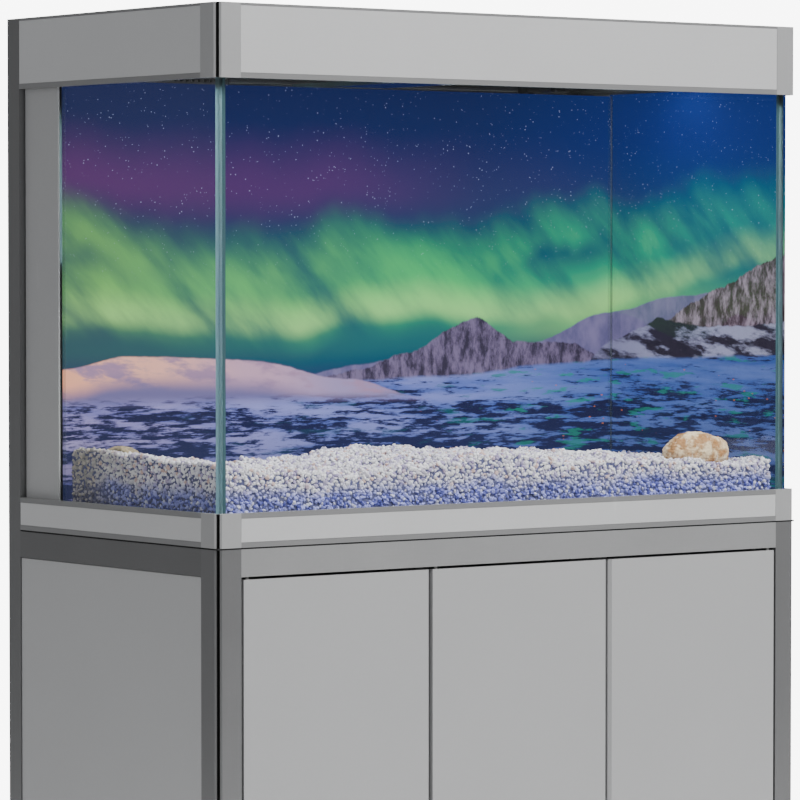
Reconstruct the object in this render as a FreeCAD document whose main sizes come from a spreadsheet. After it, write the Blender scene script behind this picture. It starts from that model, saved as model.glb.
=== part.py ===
import FreeCAD, Part
import Sketcher
import os
import re

# Floor-standing aquarium: an aluminium-framed cabinet with three doors, a glass tank with a
# filter chamber behind a partition, and a hood with hinged lids.
# Origin: centre of the footprint at floor level. +X right, -Y front, +Z up. Millimetres.

doc = FreeCAD.newDocument("aquarium_on_stand")
sheet = doc.addObject("Spreadsheet::Sheet", "dims")

# ---------------------------------------------------------------- driving dimensions
DIMENSIONS = {
    # overall
    "overall_width": 1200,
    "overall_depth": 620,
    "foot_clearance": 20,
    "cabinet_height": 680,
    "base_trim_height": 56,
    "view_height": 673,
    "hood_height": 116,
    # extrusions of the frame
    "post_size": 45,
    "corner_groove": 5.75,
    "corner_bevel": 3,
    "extrusion_wall": 3,
    "bottom_rail_height": 45,
    "top_rail_height": 43,
    "bracket_leg": 30,
    "bracket_width": 18,
    "bracket_thickness": 3,
    "bracket_front_gap": 2,
    "bracket_rear_gap": 4,
    "screw_from_corner": 19.5,
    "screw_radius": 2.5,
    "screw_head_radius": 4.5,
    "screw_head_height": 2.5,
    "screw_length": 10,
    # how far a cutting shape runs past the face it cuts
    "overshoot": 1,
    # panels and boards
    "panel_thickness": 12,
    "panel_inset": 2,
    "panel_gap": 1,
    "floor_board_thickness": 12,
    "deck_thickness": 9,
    "mat_thickness": 3,
    "gasket_thickness": 2.5,
    "gasket_inset": 1.5,
    "port_radius": 30,
    "port_from_centre": 350,
    "port_below_rail": 140,
    "grommet_wall": 5,
    "grommet_flange": 6,
    "grommet_lip": 2,
    # doors
    "door_thickness": 18,
    "door_gap": 4.5,
    "door_bevel": 5,
    "door_stop_gap": 5.5,
    "mullion_width": 30,
    "mullion_depth": 25,
    "pivot_inset": 10,
    "pivot_setback": 6,
    "pivot_radius": 3,
    "pivot_reach": 8,
    "pivot_grip": 20,
    "running_clearance": 0.05,
    "bush_wall": 1.5,
    "strike_length": 40,
    "strike_height": 14,
    "strike_thickness": 2,
    "strike_from_edge": 25,
    "strike_from_top": 2,
    "catch_clearance": 0.3,
    "catch_depth": 18,
    # levelling feet
    "foot_radius": 20,
    "foot_pad_height": 7,
    "foot_cone_height": 4,
    "foot_cone_top": 8,
    "foot_stem_radius": 5,
    "foot_stem_length": 45,
    "insert_height": 25,
    # tank
    "glass_thickness": 10,
    "partition_thickness": 8,
    "baffle_thickness": 6,
    "tank_inset": 13.3,
    "tank_back_gap": 3,
    "filter_depth": 82,
    "pane_rise": 21,
    "weir_rise": 12,
    "seam_size": 6,
    "film_thickness": 0.5,
    "cover_thickness": 3,
    "cover_tuck": 15,
    "brace_width": 50,
    "brace_thickness": 8,
    "brace_drop": 0,
    "cross_brace_width": 120,
    "comb_base": 4,
    "comb_height": 9,
    "comb_pitch": 12,
    "comb_slot": 6,
    # gravel and rocks
    "gravel_depth": 92,
    "gravel_wave": 12,
    "gravel_margin": 7,
    "rock_sink": 6,
    "left_rock_from_side": 69,
    "left_rock_from_film": 64,
    "left_rock_length": 44,
    "left_rock_width": 36,
    "left_rock_height": 26,
    "right_rock_from_side": 129,
    "right_rock_from_front": 65,
    "right_rock_length": 64,
    "right_rock_width": 35,
    "right_rock_height": 36,
    # filter chamber
    "first_baffle": 260,
    "second_baffle": 120,
    "baffle_lift": 40,
    "baffle_drop": 60,
    "basket_height": 420,
    "basket_wall": 3,
    "basket_gap": 6,
    "basket_stand": 12,
    "drain_width": 6,
    "media_gap": 1,
    "sponge_height": 60,
    "ring_radius": 11,
    "ring_bore": 6,
    "ring_length": 24,
    "ring_gap": 0.5,
    "pump_width": 130,
    "pump_depth": 66,
    "pump_height": 90,
    "pump_gap": 4,
    "pipe_radius": 10,
    "pipe_wall": 2,
    "pipe_from_centre": 420,
    "nozzle_wall": 4,
    "nozzle_lift": 2,
    "nozzle_cap": 1.5,
    "nozzle_socket": 30,
    "nozzle_arm_radius": 7,
    "nozzle_arm_length": 78,
    "heater_radius": 14,
    "heater_length": 300,
    "heater_cap": 40,
    "heater_cap_wall": 2,
    "heater_from_centre": 250,
    # hood
    "trim_thickness": 10,
    "inlay_depth": 1.2,
    "lip_height": 8,
    "hood_top_lip": 4,
    "ledge_thickness": 3,
    "ledge_width": 20,
    "lid_ledge_width": 12,
    "lid_recess": 12,
    "lid_thickness": 6,
    "lid_gap": 2,
    "lid_grip_length": 90,
    "lid_grip_width": 12,
    "lid_grip_height": 10,
    "lid_grip_inset": 25,
    "cross_rail_front": 120,
    "cross_rail_depth": 30,
    "cross_rail_height": 24,
    "rail_drop": 1,
    "hinge_barrel_radius": 4,
    "hinge_pin_radius": 2.5,
    "pin_end_gap": 0.5,
    "hinge_offset": 5,
    "hinge_leaf": 12,
    "hinge_ear_width": 8,
    "hinge_ear_rise": 10,
    "ear_margin": 2,
    "hinge_side_gap": 2,
    "lamp_width": 140,
    "lamp_height": 20,
    "lamp_front": 130,
    "lamp_end_gap": 5,
    "lamp_bezel": 12,
    "diffuser_thickness": 4,
}

for row, (name, size) in enumerate(DIMENSIONS.items(), start=1):
    sheet.set(f"A{row}", name)
    sheet.set(f"B{row}", str(size))
    sheet.setAlias(f"B{row}", name)
doc.recompute()

# ---------------------------------------------------------------- levels and planes
DERIVED = {
    "right": "overall_width / 2",
    "back": "overall_depth / 2",
    "front": "-back",
    "inner_right": "right - post_size",
    "inner_back": "back - post_size",
    "frame_bottom": "foot_clearance",
    "door_sill": "frame_bottom + bottom_rail_height",
    "cabinet_top": "frame_bottom + cabinet_height",
    "door_head": "cabinet_top - top_rail_height",
    "trim_bottom": "cabinet_top + gasket_thickness",
    "trim_top": "cabinet_top + base_trim_height",
    "hood_bottom": "trim_top + view_height",
    "hood_top": "hood_bottom + hood_height",
    "board_face": "back - panel_inset - panel_thickness",
    "floor_board_top": "door_sill + floor_board_thickness",
    "door_width": "(2 * inner_right - 4 * door_gap) / 3",
    "door_height": "door_head - door_sill - 2 * door_gap",
    "door_step": "door_width + door_gap",
    "door_left_edge": "-inner_right + door_gap",
    "door_back": "front + door_thickness",
    "stop_face": "door_back + door_stop_gap",
    "pivot_line": "front + pivot_setback",
    "bush_radius": "pivot_radius + running_clearance + bush_wall",
    "tank_right": "right - tank_inset",
    "tank_front": "front + tank_inset",
    "tank_back": "inner_back - tank_back_gap",
    "tank_floor": "cabinet_top + deck_thickness + mat_thickness",
    "pane_right": "tank_right - glass_thickness",
    "pane_front": "tank_front + glass_thickness",
    "pane_back": "tank_back - glass_thickness",
    "bed_floor": "tank_floor + glass_thickness",
    "pane_top": "hood_bottom + pane_rise",
    "partition_back": "pane_back - filter_depth",
    "partition_front": "partition_back - partition_thickness",
    "film_face": "partition_front - film_thickness",
    "weir": "hood_bottom + weir_rise",
    "trim_inner_right": "right - trim_thickness",
    "trim_inner_front": "front + trim_thickness",
    "lid_top": "hood_top - lid_recess",
    "lid_bottom": "lid_top - lid_thickness",
    "lid_axis_level": "lid_top - lid_thickness / 2",
    "cross_rail_back": "cross_rail_front + cross_rail_depth",
    "cross_rail_top": "lid_bottom - rail_drop",
    "front_lid_axis": "cross_rail_front - hinge_offset",
    "filter_lid_axis": "cross_rail_back + hinge_offset",
    "hinge_pin_reach": "hinge_ear_width / 2 - pin_end_gap",
    "ear_front": "front_lid_axis - hinge_barrel_radius - ear_margin",
    "ear_back": "filter_lid_axis + hinge_barrel_radius + ear_margin",
    "lamp_level": "pane_top + ledge_thickness",
    "pump_floor": "bed_floor + pump_gap",
    "pipe_line": "partition_back + filter_depth / 2",
    "nozzle_level": "weir + nozzle_lift + nozzle_arm_radius",
    "nozzle_top": "nozzle_level + nozzle_arm_radius + nozzle_cap",
    "pipe_end": "nozzle_level - nozzle_arm_radius",
    "groove_start": "corner_groove + corner_bevel",
    "groove_inner": "corner_groove + extrusion_wall",
    "post_inner": "post_size - extrusion_wall",
}


def bind(text):
    """Turn a formula in plain names into one that reads the dimension sheet."""
    def word(match):
        name = match.group(0)
        if name in DERIVED:
            return f"({bind(DERIVED[name])})"
        return f"dims.{name}"
    return re.sub(r"[a-z_]+", word, text)


def number(text):
    """Value of a formula in plain names, in millimetres."""
    return float(sheet.evalExpression(bind(text)))


# ---------------------------------------------------------------- building helpers
nodes = []


def place(item, at):
    for letter, formula in zip("xyz", at):
        item.setExpression(f"Placement.Base.{letter}", bind(formula))
    return item


def block(name, low, high):
    """Box between two corners, each given as three formulas."""
    item = doc.addObject("Part::Box", name)
    for side, start, end in zip(("Length", "Width", "Height"), low, high):
        item.setExpression(side, bind(f"({end}) - ({start})"))
    return place(item, low)


def rod(name, at, radius, length, along="z"):
    """Cylinder that starts at a point and runs along +X, +Y or +Z."""
    item = doc.addObject("Part::Cylinder", name)
    item.setExpression("Radius", bind(radius))
    item.setExpression("Height", bind(length))
    turns = {
        "x": FreeCAD.Rotation(FreeCAD.Vector(0, 1, 0), 90),
        "y": FreeCAD.Rotation(FreeCAD.Vector(1, 0, 0), -90),
        "z": FreeCAD.Rotation(),
    }
    item.Placement = FreeCAD.Placement(FreeCAD.Vector(), turns[along])
    return place(item, at)


def cone(name, at, bottom_radius, top_radius, height):
    item = doc.addObject("Part::Cone", name)
    item.setExpression("Radius1", bind(bottom_radius))
    item.setExpression("Radius2", bind(top_radius))
    item.setExpression("Height", bind(height))
    return place(item, at)


def cut(name, base, *tools):
    item = doc.addObject("Part::Cut", name)
    item.Base = base
    item.Tool = tools[0] if len(tools) == 1 else fuse(f"{name}_tools", *tools)
    return item


def fuse(name, *pieces):
    item = doc.addObject("Part::MultiFuse", name)
    item.Shapes = list(pieces)
    return item


def group(name, pieces):
    """Several separate solids kept together as one sub-part."""
    item = doc.addObject("Part::Compound", name)
    item.Links = list(pieces)
    return item


def outline(body, name, role, points):
    """Closed sketch of straight edges, every corner bound to the dimension sheet."""
    sketch = body.newObject("Sketcher::SketchObject", name)
    plane = next(item for item in body.Origin.OriginFeatures if item.Role == role)
    sketch.AttachmentSupport = [(plane, "")]
    sketch.MapMode = "FlatFace"
    corners = [FreeCAD.Vector(number(across), number(up), 0) for across, up in points]
    for start, end in zip(corners, corners[1:] + corners[:1]):
        sketch.addGeometry(Part.LineSegment(start, end))
    count = len(points)
    for index in range(count):
        sketch.addConstraint(Sketcher.Constraint("Coincident", index, 2, (index + 1) % count, 1))
    for index, (across, up) in enumerate(points):
        for kind, formula in (("DistanceX", across), ("DistanceY", up)):
            size = number(formula)
            label = f"{kind}{index}"
            rule = sketch.addConstraint(Sketcher.Constraint(kind, -1, 1, index, 1, size))
            sketch.renameConstraint(rule, label)
            sketch.setExpression(f"Constraints.{label}", bind(formula))
    return sketch


def prism(name, points, height, at, role="XY_Plane", hollow=None, cap="0"):
    """Body padded from an outline, with an optional inner outline pocketed from its foot."""
    body = doc.addObject("PartDesign::Body", name)
    profile = outline(body, f"{name}_section", role, points)
    pad = body.newObject("PartDesign::Pad", f"{name}_pad")
    pad.Profile = profile
    pad.setExpression("Length", bind(height))
    if hollow:
        inside = outline(body, f"{name}_core", role, hollow)
        pocket = body.newObject("PartDesign::Pocket", f"{name}_pocket")
        pocket.Profile = inside
        pocket.Reversed = True
        pocket.setExpression("Length", bind(f"({height}) - ({cap})"))
    return place(body, at)


def node(name, item):
    """Name a finished sub-part, which also names its file."""
    item.Label = name
    nodes.append(item)
    return item


def turned(points, side, end):
    """Corner section for one corner: side is -1 left or 1 right, end is -1 front or 1 back."""
    along = "-" if side > 0 else ""
    across = "-" if end > 0 else ""
    return [(f"{along}({x})", f"{across}({y})") for x, y in points]


SIDES = {"left": -1, "right": 1}
ENDS = {"front": -1, "rear": 1}
POST_SECTION = [
    ("groove_start", "0"), ("post_size", "0"), ("post_size", "post_size"), ("0", "post_size"),
    ("0", "groove_start"), ("corner_bevel", "corner_groove"), ("corner_groove", "corner_groove"),
    ("corner_groove", "corner_bevel"),
]
POST_CORE = [
    ("groove_inner", "extrusion_wall"), ("post_inner", "extrusion_wall"),
    ("post_inner", "post_inner"), ("extrusion_wall", "post_inner"),
    ("extrusion_wall", "groove_inner"), ("groove_inner", "groove_inner"),
]
CORNER_SECTION = [
    ("groove_start", "0"), ("post_size", "0"), ("post_size", "trim_thickness"),
    ("trim_thickness", "trim_thickness"), ("trim_thickness", "post_size"), ("0", "post_size"),
    ("0", "groove_start"), ("corner_bevel", "corner_groove"), ("corner_groove", "corner_groove"),
    ("corner_groove", "corner_bevel"),
]


def signed(side, formula):
    return f"{side} * ({formula})"


# ---------------------------------------------------------------- levelling feet
# Steel pad, cone and stem; the stem screws into a plug pressed into the foot of each post.
inserts = []
for end_name, end in ENDS.items():
    for side_name, side in SIDES.items():
        tag = f"{end_name}_{side_name}"
        corner = (signed(side, "right"), signed(end, "back"), "frame_bottom")
        stem_x = signed(side, "right - post_size / 2")
        stem_y = signed(end, "back - post_size / 2")
        plug = prism(f"plug_{tag}", turned(POST_CORE, side, end), "insert_height", corner)
        bore = rod(f"plug_bore_{tag}", (stem_x, stem_y, "frame_bottom - overshoot"),
                   "foot_stem_radius + running_clearance", "insert_height + 2 * overshoot")
        inserts.append(cut(f"insert_{tag}", plug, bore))
        pad = rod(f"foot_pad_{tag}", (stem_x, stem_y, "0"), "foot_radius", "foot_pad_height")
        taper = cone(f"foot_cone_{tag}", (stem_x, stem_y, "foot_pad_height"),
                     "foot_radius", "foot_cone_top", "foot_cone_height")
        stem = rod(f"foot_stem_{tag}", (stem_x, stem_y, "foot_pad_height"),
                   "foot_stem_radius", "foot_stem_length")
        node(f"foot_{tag}", fuse(f"foot_{tag}_whole", pad, taper, stem))
node("foot_inserts", group("foot_insert_set", inserts))

# ---------------------------------------------------------------- posts
# Hollow extrusions with a groove down the outer corner. The rear pair runs up to the hood top.
for end_name, end in ENDS.items():
    height = "hood_top - frame_bottom" if end > 0 else "cabinet_height"
    for side_name, side in SIDES.items():
        post = prism(f"post_{end_name}_{side_name}_body", turned(POST_SECTION, side, end), height,
                     (signed(side, "right"), signed(end, "back"), "frame_bottom"),
                     hollow=turned(POST_CORE, side, end), cap="extrusion_wall")
        node(f"post_{end_name}_{side_name}", post)


# ---------------------------------------------------------------- rails
# Rectangular tubes between the posts. The long front rails are drilled for the door pivot bushes.
def tube(name, low, high, along):
    shell = block(f"{name}_shell", low, high)
    core_low = [start if letter == along else f"{start} + extrusion_wall"
                for letter, start in zip("xyz", low)]
    core_high = [stop if letter == along else f"{stop} - extrusion_wall"
                 for letter, stop in zip("xyz", high)]
    reach = "xyz".index(along)
    core_low[reach] += " - overshoot"
    core_high[reach] += " + overshoot"
    return cut(f"{name}_tube", shell, block(f"{name}_core", core_low, core_high))


def pivot_x(index):
    """Pivot line of each door: the first two hang on their left edge, the last on its right."""
    edge = f"door_left_edge + {index} * door_step"
    if index == 2:
        return f"{edge} + door_width - pivot_inset"
    return f"{edge} + pivot_inset"


LEVELS = {"bottom": ("frame_bottom", "door_sill"), "top": ("door_head", "cabinet_top")}
front_rails = []
rear_rails = []
side_rails = []
for level, (low, high) in LEVELS.items():
    drilled_wall = "door_sill - extrusion_wall" if level == "bottom" else "door_head"
    front_rail = tube(f"{level}_front", ("-inner_right", "front", low),
                      ("inner_right", "-inner_back", high), "x")
    holes = [rod(f"{level}_pivot_hole_{index}",
                 (pivot_x(index), "pivot_line", f"{drilled_wall} - overshoot / 2"),
                 "bush_radius", "extrusion_wall + overshoot") for index in range(3)]
    drilled = cut(f"{level}_front_drilled", front_rail, *holes)
    front_rails.append(drilled)
    rear_rails.append(tube(f"{level}_back", ("-inner_right", "inner_back", low),
                           ("inner_right", "back", high), "x"))
    side_rails.append(tube(f"{level}_left", ("-right", "-inner_back", low),
                           ("-inner_right", "inner_back", high), "y"))
    side_rails.append(tube(f"{level}_right", ("inner_right", "-inner_back", low),
                           ("right", "inner_back", high), "y"))
node("front_rails", group("front_rail_pair", front_rails))
node("rear_rails", group("rear_rail_pair", rear_rails))
node("side_rails", group("side_rail_set", side_rails))

# Uprights behind the two gaps between doors, standing on the floor board.
mullions = []
for index in (1, 2):
    gap_middle = f"door_left_edge + {index} * door_step - door_gap / 2"
    mullions.append(block(f"mullion_{index}",
                          (f"{gap_middle} - mullion_width / 2", "stop_face", "floor_board_top"),
                          (f"{gap_middle} + mullion_width / 2", "stop_face + mullion_depth",
                           "door_head")))
node("door_mullions", group("mullion_pair", mullions))

# Angle brackets under the top rails, and the screws that hold them.
brackets = []
screws = []
for end_name, end in ENDS.items():
    near = "stop_face + bracket_front_gap" if end < 0 else "inner_back + bracket_rear_gap"
    far = f"{near} + bracket_width"
    for side_name, side in SIDES.items():
        tag = f"{end_name}_{side_name}"
        wall = signed(side, "inner_right")
        inward = signed(-side, "1")
        plate_x = [wall, f"{wall} + {inward} * bracket_thickness"]
        leg_x = [wall, f"{wall} + {inward} * bracket_leg"]
        if side > 0:
            plate_x.reverse()
            leg_x.reverse()
        upright = block(f"bracket_upright_{tag}", (plate_x[0], near, "door_head - bracket_leg"),
                        (plate_x[1], far, "door_head"))
        level_leg = block(f"bracket_level_{tag}",
                          (leg_x[0], near, "door_head - bracket_thickness"),
                          (leg_x[1], far, "door_head"))
        brackets.append(fuse(f"bracket_{tag}", upright, level_leg))
        screw_x = f"{wall} + {inward} * screw_from_corner"
        middle = f"{near} + bracket_width / 2"
        head = rod(f"screw_head_{tag}",
                   (screw_x, middle, "door_head - bracket_thickness - screw_head_height"),
                   "screw_head_radius", "screw_head_height")
        shank = rod(f"screw_shank_{tag}", (screw_x, middle, "door_head - bracket_thickness"),
                    "screw_radius", "screw_length")
        screws.append(fuse(f"screw_{tag}", head, shank))
        shift = "" if side < 0 else " - screw_head_height"
        side_head = rod(f"side_screw_head_{tag}",
                        (f"{wall} + {inward} * bracket_thickness{shift}", middle,
                         "door_head - screw_from_corner"),
                        "screw_head_radius", "screw_head_height", along="x")
        reach = " - screw_length" if side < 0 else ""
        side_shank = rod(f"side_screw_shank_{tag}",
                         (f"{wall} + {inward} * bracket_thickness{reach}", middle,
                          "door_head - screw_from_corner"),
                         "screw_radius", "screw_length", along="x")
        screws.append(fuse(f"side_screw_{tag}", side_head, side_shank))
node("corner_brackets", group("bracket_set", brackets))
node("bracket_screws", group("screw_set", screws))

# ---------------------------------------------------------------- cabinet panels and boards
side_panels = []
for side_name, side in SIDES.items():
    outer = signed(side, "right - panel_inset")
    inner = signed(side, "right - panel_inset - panel_thickness")
    faces = (outer, inner) if side < 0 else (inner, outer)
    side_panels.append(block(f"side_panel_{side_name}",
                             (faces[0], "-inner_back + panel_gap", "door_sill + panel_gap"),
                             (faces[1], "inner_back - panel_gap", "door_head - panel_gap")))
node("side_panels", group("side_panel_pair", side_panels))

back_board = block("back_board",
                   ("-inner_right + panel_gap", "board_face", "door_sill + panel_gap"),
                   ("inner_right - panel_gap", "back - panel_inset", "door_head - panel_gap"))
port_level = "door_head - port_below_rail"
port_hole = rod("port_hole", ("port_from_centre", "board_face - overshoot", port_level),
                "port_radius", "panel_thickness + 2 * overshoot", along="y")
node("back_panel", cut("back_panel_drilled", back_board, port_hole))

# Rubber ring that lines the cable port in the back panel, with a lip on each face.
sleeve = rod("grommet_sleeve",
             ("port_from_centre", "board_face - grommet_lip", port_level),
             "port_radius", "panel_thickness + 2 * grommet_lip", along="y")
inner_lip = rod("grommet_inner_lip",
                ("port_from_centre", "board_face - grommet_lip", port_level),
                "port_radius + grommet_flange", "grommet_lip", along="y")
outer_lip = rod("grommet_outer_lip", ("port_from_centre", "back - panel_inset", port_level),
                "port_radius + grommet_flange", "grommet_lip", along="y")
passage = rod("grommet_passage",
              ("port_from_centre", "board_face - grommet_lip - overshoot", port_level),
              "port_radius - grommet_wall", "panel_thickness + 2 * (grommet_lip + overshoot)",
              along="y")
grommet_body = fuse("grommet_body", sleeve, inner_lip, outer_lip)
node("port_grommet", cut("grommet_ring", grommet_body, passage))

node("floor_board",
     block("floor_board_sheet", ("-inner_right + panel_gap", "stop_face", "door_sill"),
           ("inner_right - panel_gap", "board_face - panel_gap", "floor_board_top")))
deck_low = ("-inner_right + panel_gap", "trim_inner_front + panel_gap", "cabinet_top")
deck_high = ("inner_right - panel_gap", "tank_back", "cabinet_top + deck_thickness")
node("deck_board", block("deck_sheet", deck_low, deck_high))

# Black foam: a mat under the tank and a thin ring under the base trim, set back from its face.
mat = block("mat_sheet", ("-tank_right", "tank_front", "tank_floor - mat_thickness"),
            ("tank_right", "tank_back", "tank_floor"))
gasket_outer = block("gasket_outer",
                     ("-right + gasket_inset", "front + gasket_inset", "cabinet_top"),
                     ("right - gasket_inset", "back - gasket_inset", "trim_bottom"))
gasket_inner = block("gasket_inner",
                     ("-trim_inner_right", "trim_inner_front", "cabinet_top - overshoot"),
                     ("trim_inner_right", "back - trim_thickness", "trim_bottom + overshoot"))
rear_corners = [block(f"gasket_corner_{side_name}",
                      (f"{side} * right - post_size", "inner_back", "cabinet_top - overshoot"),
                      (f"{side} * right + post_size", "back", "trim_bottom + overshoot"))
                for side_name, side in SIDES.items()]
node("foam_gaskets", group("foam_set", [
    mat, cut("gasket_ring", gasket_outer, gasket_inner, *rear_corners)]))

# ---------------------------------------------------------------- doors
# Flat boards, flush with the frame, with a bevel to pull on along the free edge. Each turns on
# two steel pins held in bushes in the front rails; a magnet holds a strike plate behind it.
DOORS = ("left", "middle", "right")
LEFT_HUNG = [("0", "0"), ("door_width - door_bevel", "0"), ("door_width", "door_bevel"),
             ("door_width", "door_thickness"), ("0", "door_thickness")]
RIGHT_HUNG = [("door_bevel", "0"), ("door_width", "0"), ("door_width", "door_thickness"),
              ("0", "door_thickness"), ("0", "door_bevel")]
magnets = []
bushes = []
for index, door_name in enumerate(DOORS):
    edge = f"door_left_edge + {index} * door_step"
    section = RIGHT_HUNG if index == 2 else LEFT_HUNG
    door = prism(f"door_{door_name}_board", section, "door_height",
                 (edge, "front", "door_sill + door_gap"))
    node(f"door_{door_name}", door)
    pin_length = "pivot_grip + door_gap + pivot_reach"
    lower = rod(f"lower_pin_{door_name}",
                (pivot_x(index), "pivot_line", "door_sill - pivot_reach"),
                "pivot_radius", pin_length)
    upper = rod(f"upper_pin_{door_name}",
                (pivot_x(index), "pivot_line", "door_head - door_gap - pivot_grip"),
                "pivot_radius", pin_length)
    if index == 2:
        plate_start = f"{edge} + strike_from_edge"
    else:
        plate_start = f"{edge} + door_width - strike_from_edge - strike_length"
    plate_top = "door_head - door_gap - strike_from_top"
    strike = block(f"strike_{door_name}",
                   (plate_start, "door_back", f"{plate_top} - strike_height"),
                   (f"{plate_start} + strike_length", "door_back + strike_thickness", plate_top))
    node(f"door_{door_name}_fittings", group(f"fittings_{door_name}", [lower, upper, strike]))
    catch_face = "door_back + strike_thickness + catch_clearance"
    magnets.append(block(f"magnet_{door_name}",
                         (plate_start, catch_face, f"{plate_top} - strike_height"),
                         (f"{plate_start} + strike_length", f"{catch_face} + catch_depth",
                          "door_head")))
    for place_name, start in (("lower", "door_sill - extrusion_wall"), ("upper", "door_head")):
        ring = rod(f"{place_name}_bush_{door_name}", (pivot_x(index), "pivot_line", start),
                   "bush_radius", "extrusion_wall")
        bore = rod(f"{place_name}_bush_bore_{door_name}",
                   (pivot_x(index), "pivot_line", f"{start} - overshoot"),
                   "pivot_radius + running_clearance", "extrusion_wall + 2 * overshoot")
        bushes.append(cut(f"{place_name}_bush_ring_{door_name}", ring, bore))
node("door_magnets", group("magnet_set", magnets))
node("pivot_bushes", group("bush_set", bushes))

# ---------------------------------------------------------------- base trim round the tank foot
# Aluminium strips on all four sides, each with a shallow channel between two lips for an inlay.
def inlaid(name, low, high, channel_low, channel_high, bottom_lip, top_lip):
    strip = block(f"{name}_strip", low, high)
    channel = block(f"{name}_channel", (*channel_low, f"{low[2]} + {bottom_lip}"),
                    (*channel_high, f"{high[2]} - {top_lip}"))
    return cut(f"{name}_inlaid", strip, channel)


trim_inner_back = "back - trim_thickness"
SHELL = {
    "front": (("-inner_right", "front"), ("inner_right", "trim_inner_front"),
              ("-inner_right - overshoot", "front - overshoot"),
              ("inner_right + overshoot", "front + inlay_depth")),
    "back": (("-inner_right", trim_inner_back), ("inner_right", "back"),
             ("-inner_right - overshoot", "back - inlay_depth"),
             ("inner_right + overshoot", "back + overshoot")),
    "left": (("-right", "-inner_back"), ("-trim_inner_right", "inner_back"),
             ("-right - overshoot", "-inner_back - overshoot"),
             ("-right + inlay_depth", "inner_back + overshoot")),
    "right": (("trim_inner_right", "-inner_back"), ("right", "inner_back"),
              ("right - inlay_depth", "-inner_back - overshoot"),
              ("right + overshoot", "inner_back + overshoot")),
}
node("base_trim", group("base_trim_set", [
    inlaid(f"base_{face}", (*low, "trim_bottom"), (*high, "trim_top"), channel_low, channel_high,
           "lip_height", "lip_height")
    for face, (low, high, channel_low, channel_high) in SHELL.items()]))

# Grooved corner pieces above the front posts: one pair on the base trim, one on the hood.
corner_pieces = []
for side_name, side in SIDES.items():
    corner_pieces.append(prism(f"base_corner_{side_name}", turned(CORNER_SECTION, side, -1),
                               "base_trim_height - gasket_thickness",
                               (signed(side, "right"), "front", "trim_bottom")))
    corner_pieces.append(prism(f"hood_corner_{side_name}", turned(CORNER_SECTION, side, -1),
                               "hood_height", (signed(side, "right"), "front", "hood_bottom")))
node("corner_pieces", group("corner_piece_set", corner_pieces))

# ---------------------------------------------------------------- glass tank
node("glass_bottom", block("bottom_pane", ("-tank_right", "tank_front", "tank_floor"),
                           ("tank_right", "tank_back", "bed_floor")))
node("glass_front", block("front_pane", ("-tank_right", "tank_front", "bed_floor"),
                          ("tank_right", "pane_front", "pane_top")))
node("glass_rear", block("rear_pane", ("-tank_right", "pane_back", "bed_floor"),
                         ("tank_right", "tank_back", "pane_top")))
node("glass_sides", group("side_pane_pair", [
    block("left_pane", ("-tank_right", "pane_front", "bed_floor"),
          ("-pane_right", "pane_back", "pane_top")),
    block("right_pane", ("pane_right", "pane_front", "bed_floor"),
          ("tank_right", "pane_back", "pane_top"))]))
node("glass_partition", block("partition", ("-pane_right", "partition_front", "bed_floor"),
                              ("pane_right", "partition_back", "weir")))

# Two cross walls in the filter chamber: water passes under the first and over the second.
node("filter_baffles", group("baffle_pair", [
    block("under_baffle", ("-first_baffle", "partition_back", "bed_floor + baffle_lift"),
          ("-first_baffle + baffle_thickness", "pane_back", "weir")),
    block("over_baffle", ("second_baffle", "partition_back", "bed_floor"),
          ("second_baffle + baffle_thickness", "pane_back", "weir - baffle_drop"))]))

# Silicone fillets up the four inner corners of the display part.
seams = []
SEAM = [("0", "0"), ("seam_size", "0"), ("0", "seam_size")]
for side_name, side in SIDES.items():
    seams.append(prism(f"front_seam_{side_name}", turned(SEAM, side, -1),
                       "pane_top - brace_drop - brace_thickness - bed_floor",
                       (signed(side, "pane_right"), "pane_front", "bed_floor")))
    seams.append(prism(f"rear_seam_{side_name}", turned(SEAM, side, 1), "weir - bed_floor",
                       (signed(side, "pane_right"), "film_face", "bed_floor")))
node("silicone_seams", group("seam_set", seams))

# Glass strips bonded inside the top of the tank to stiffen it.
brace_top = "pane_top - brace_drop"
node("glass_braces", group("brace_pair", [
    block("front_brace", ("-pane_right", "pane_front", f"{brace_top} - brace_thickness"),
          ("pane_right", "pane_front + brace_width", brace_top)),
    block("cross_brace", ("-cross_brace_width / 2", "pane_front + brace_width",
                          f"{brace_top} - brace_thickness"),
          ("cross_brace_width / 2", "pane_back", brace_top))]))

# Grey strips that hide the filter chamber at both ends of the tank.
node("filter_side_covers", group("cover_pair", [
    block("cover_left", ("-tank_right - cover_thickness", "partition_front",
                         "trim_top - cover_tuck"),
          ("-tank_right", "tank_back", "hood_bottom + cover_tuck")),
    block("cover_right", ("tank_right", "partition_back", "trim_top - cover_tuck"),
          ("tank_right + cover_thickness", "tank_back", "hood_bottom + cover_tuck"))]))

# Picture film: one sheet on the partition, one on the outside of the right pane.
node("background_film", group("film_pair", [
    block("rear_film", ("-pane_right", "film_face", "bed_floor"),
          ("pane_right", "partition_front", "weir")),
    block("right_film", ("tank_right", "tank_front", "trim_top - cover_tuck"),
          ("tank_right + film_thickness", "partition_back", "hood_bottom + cover_tuck"))]))

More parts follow.
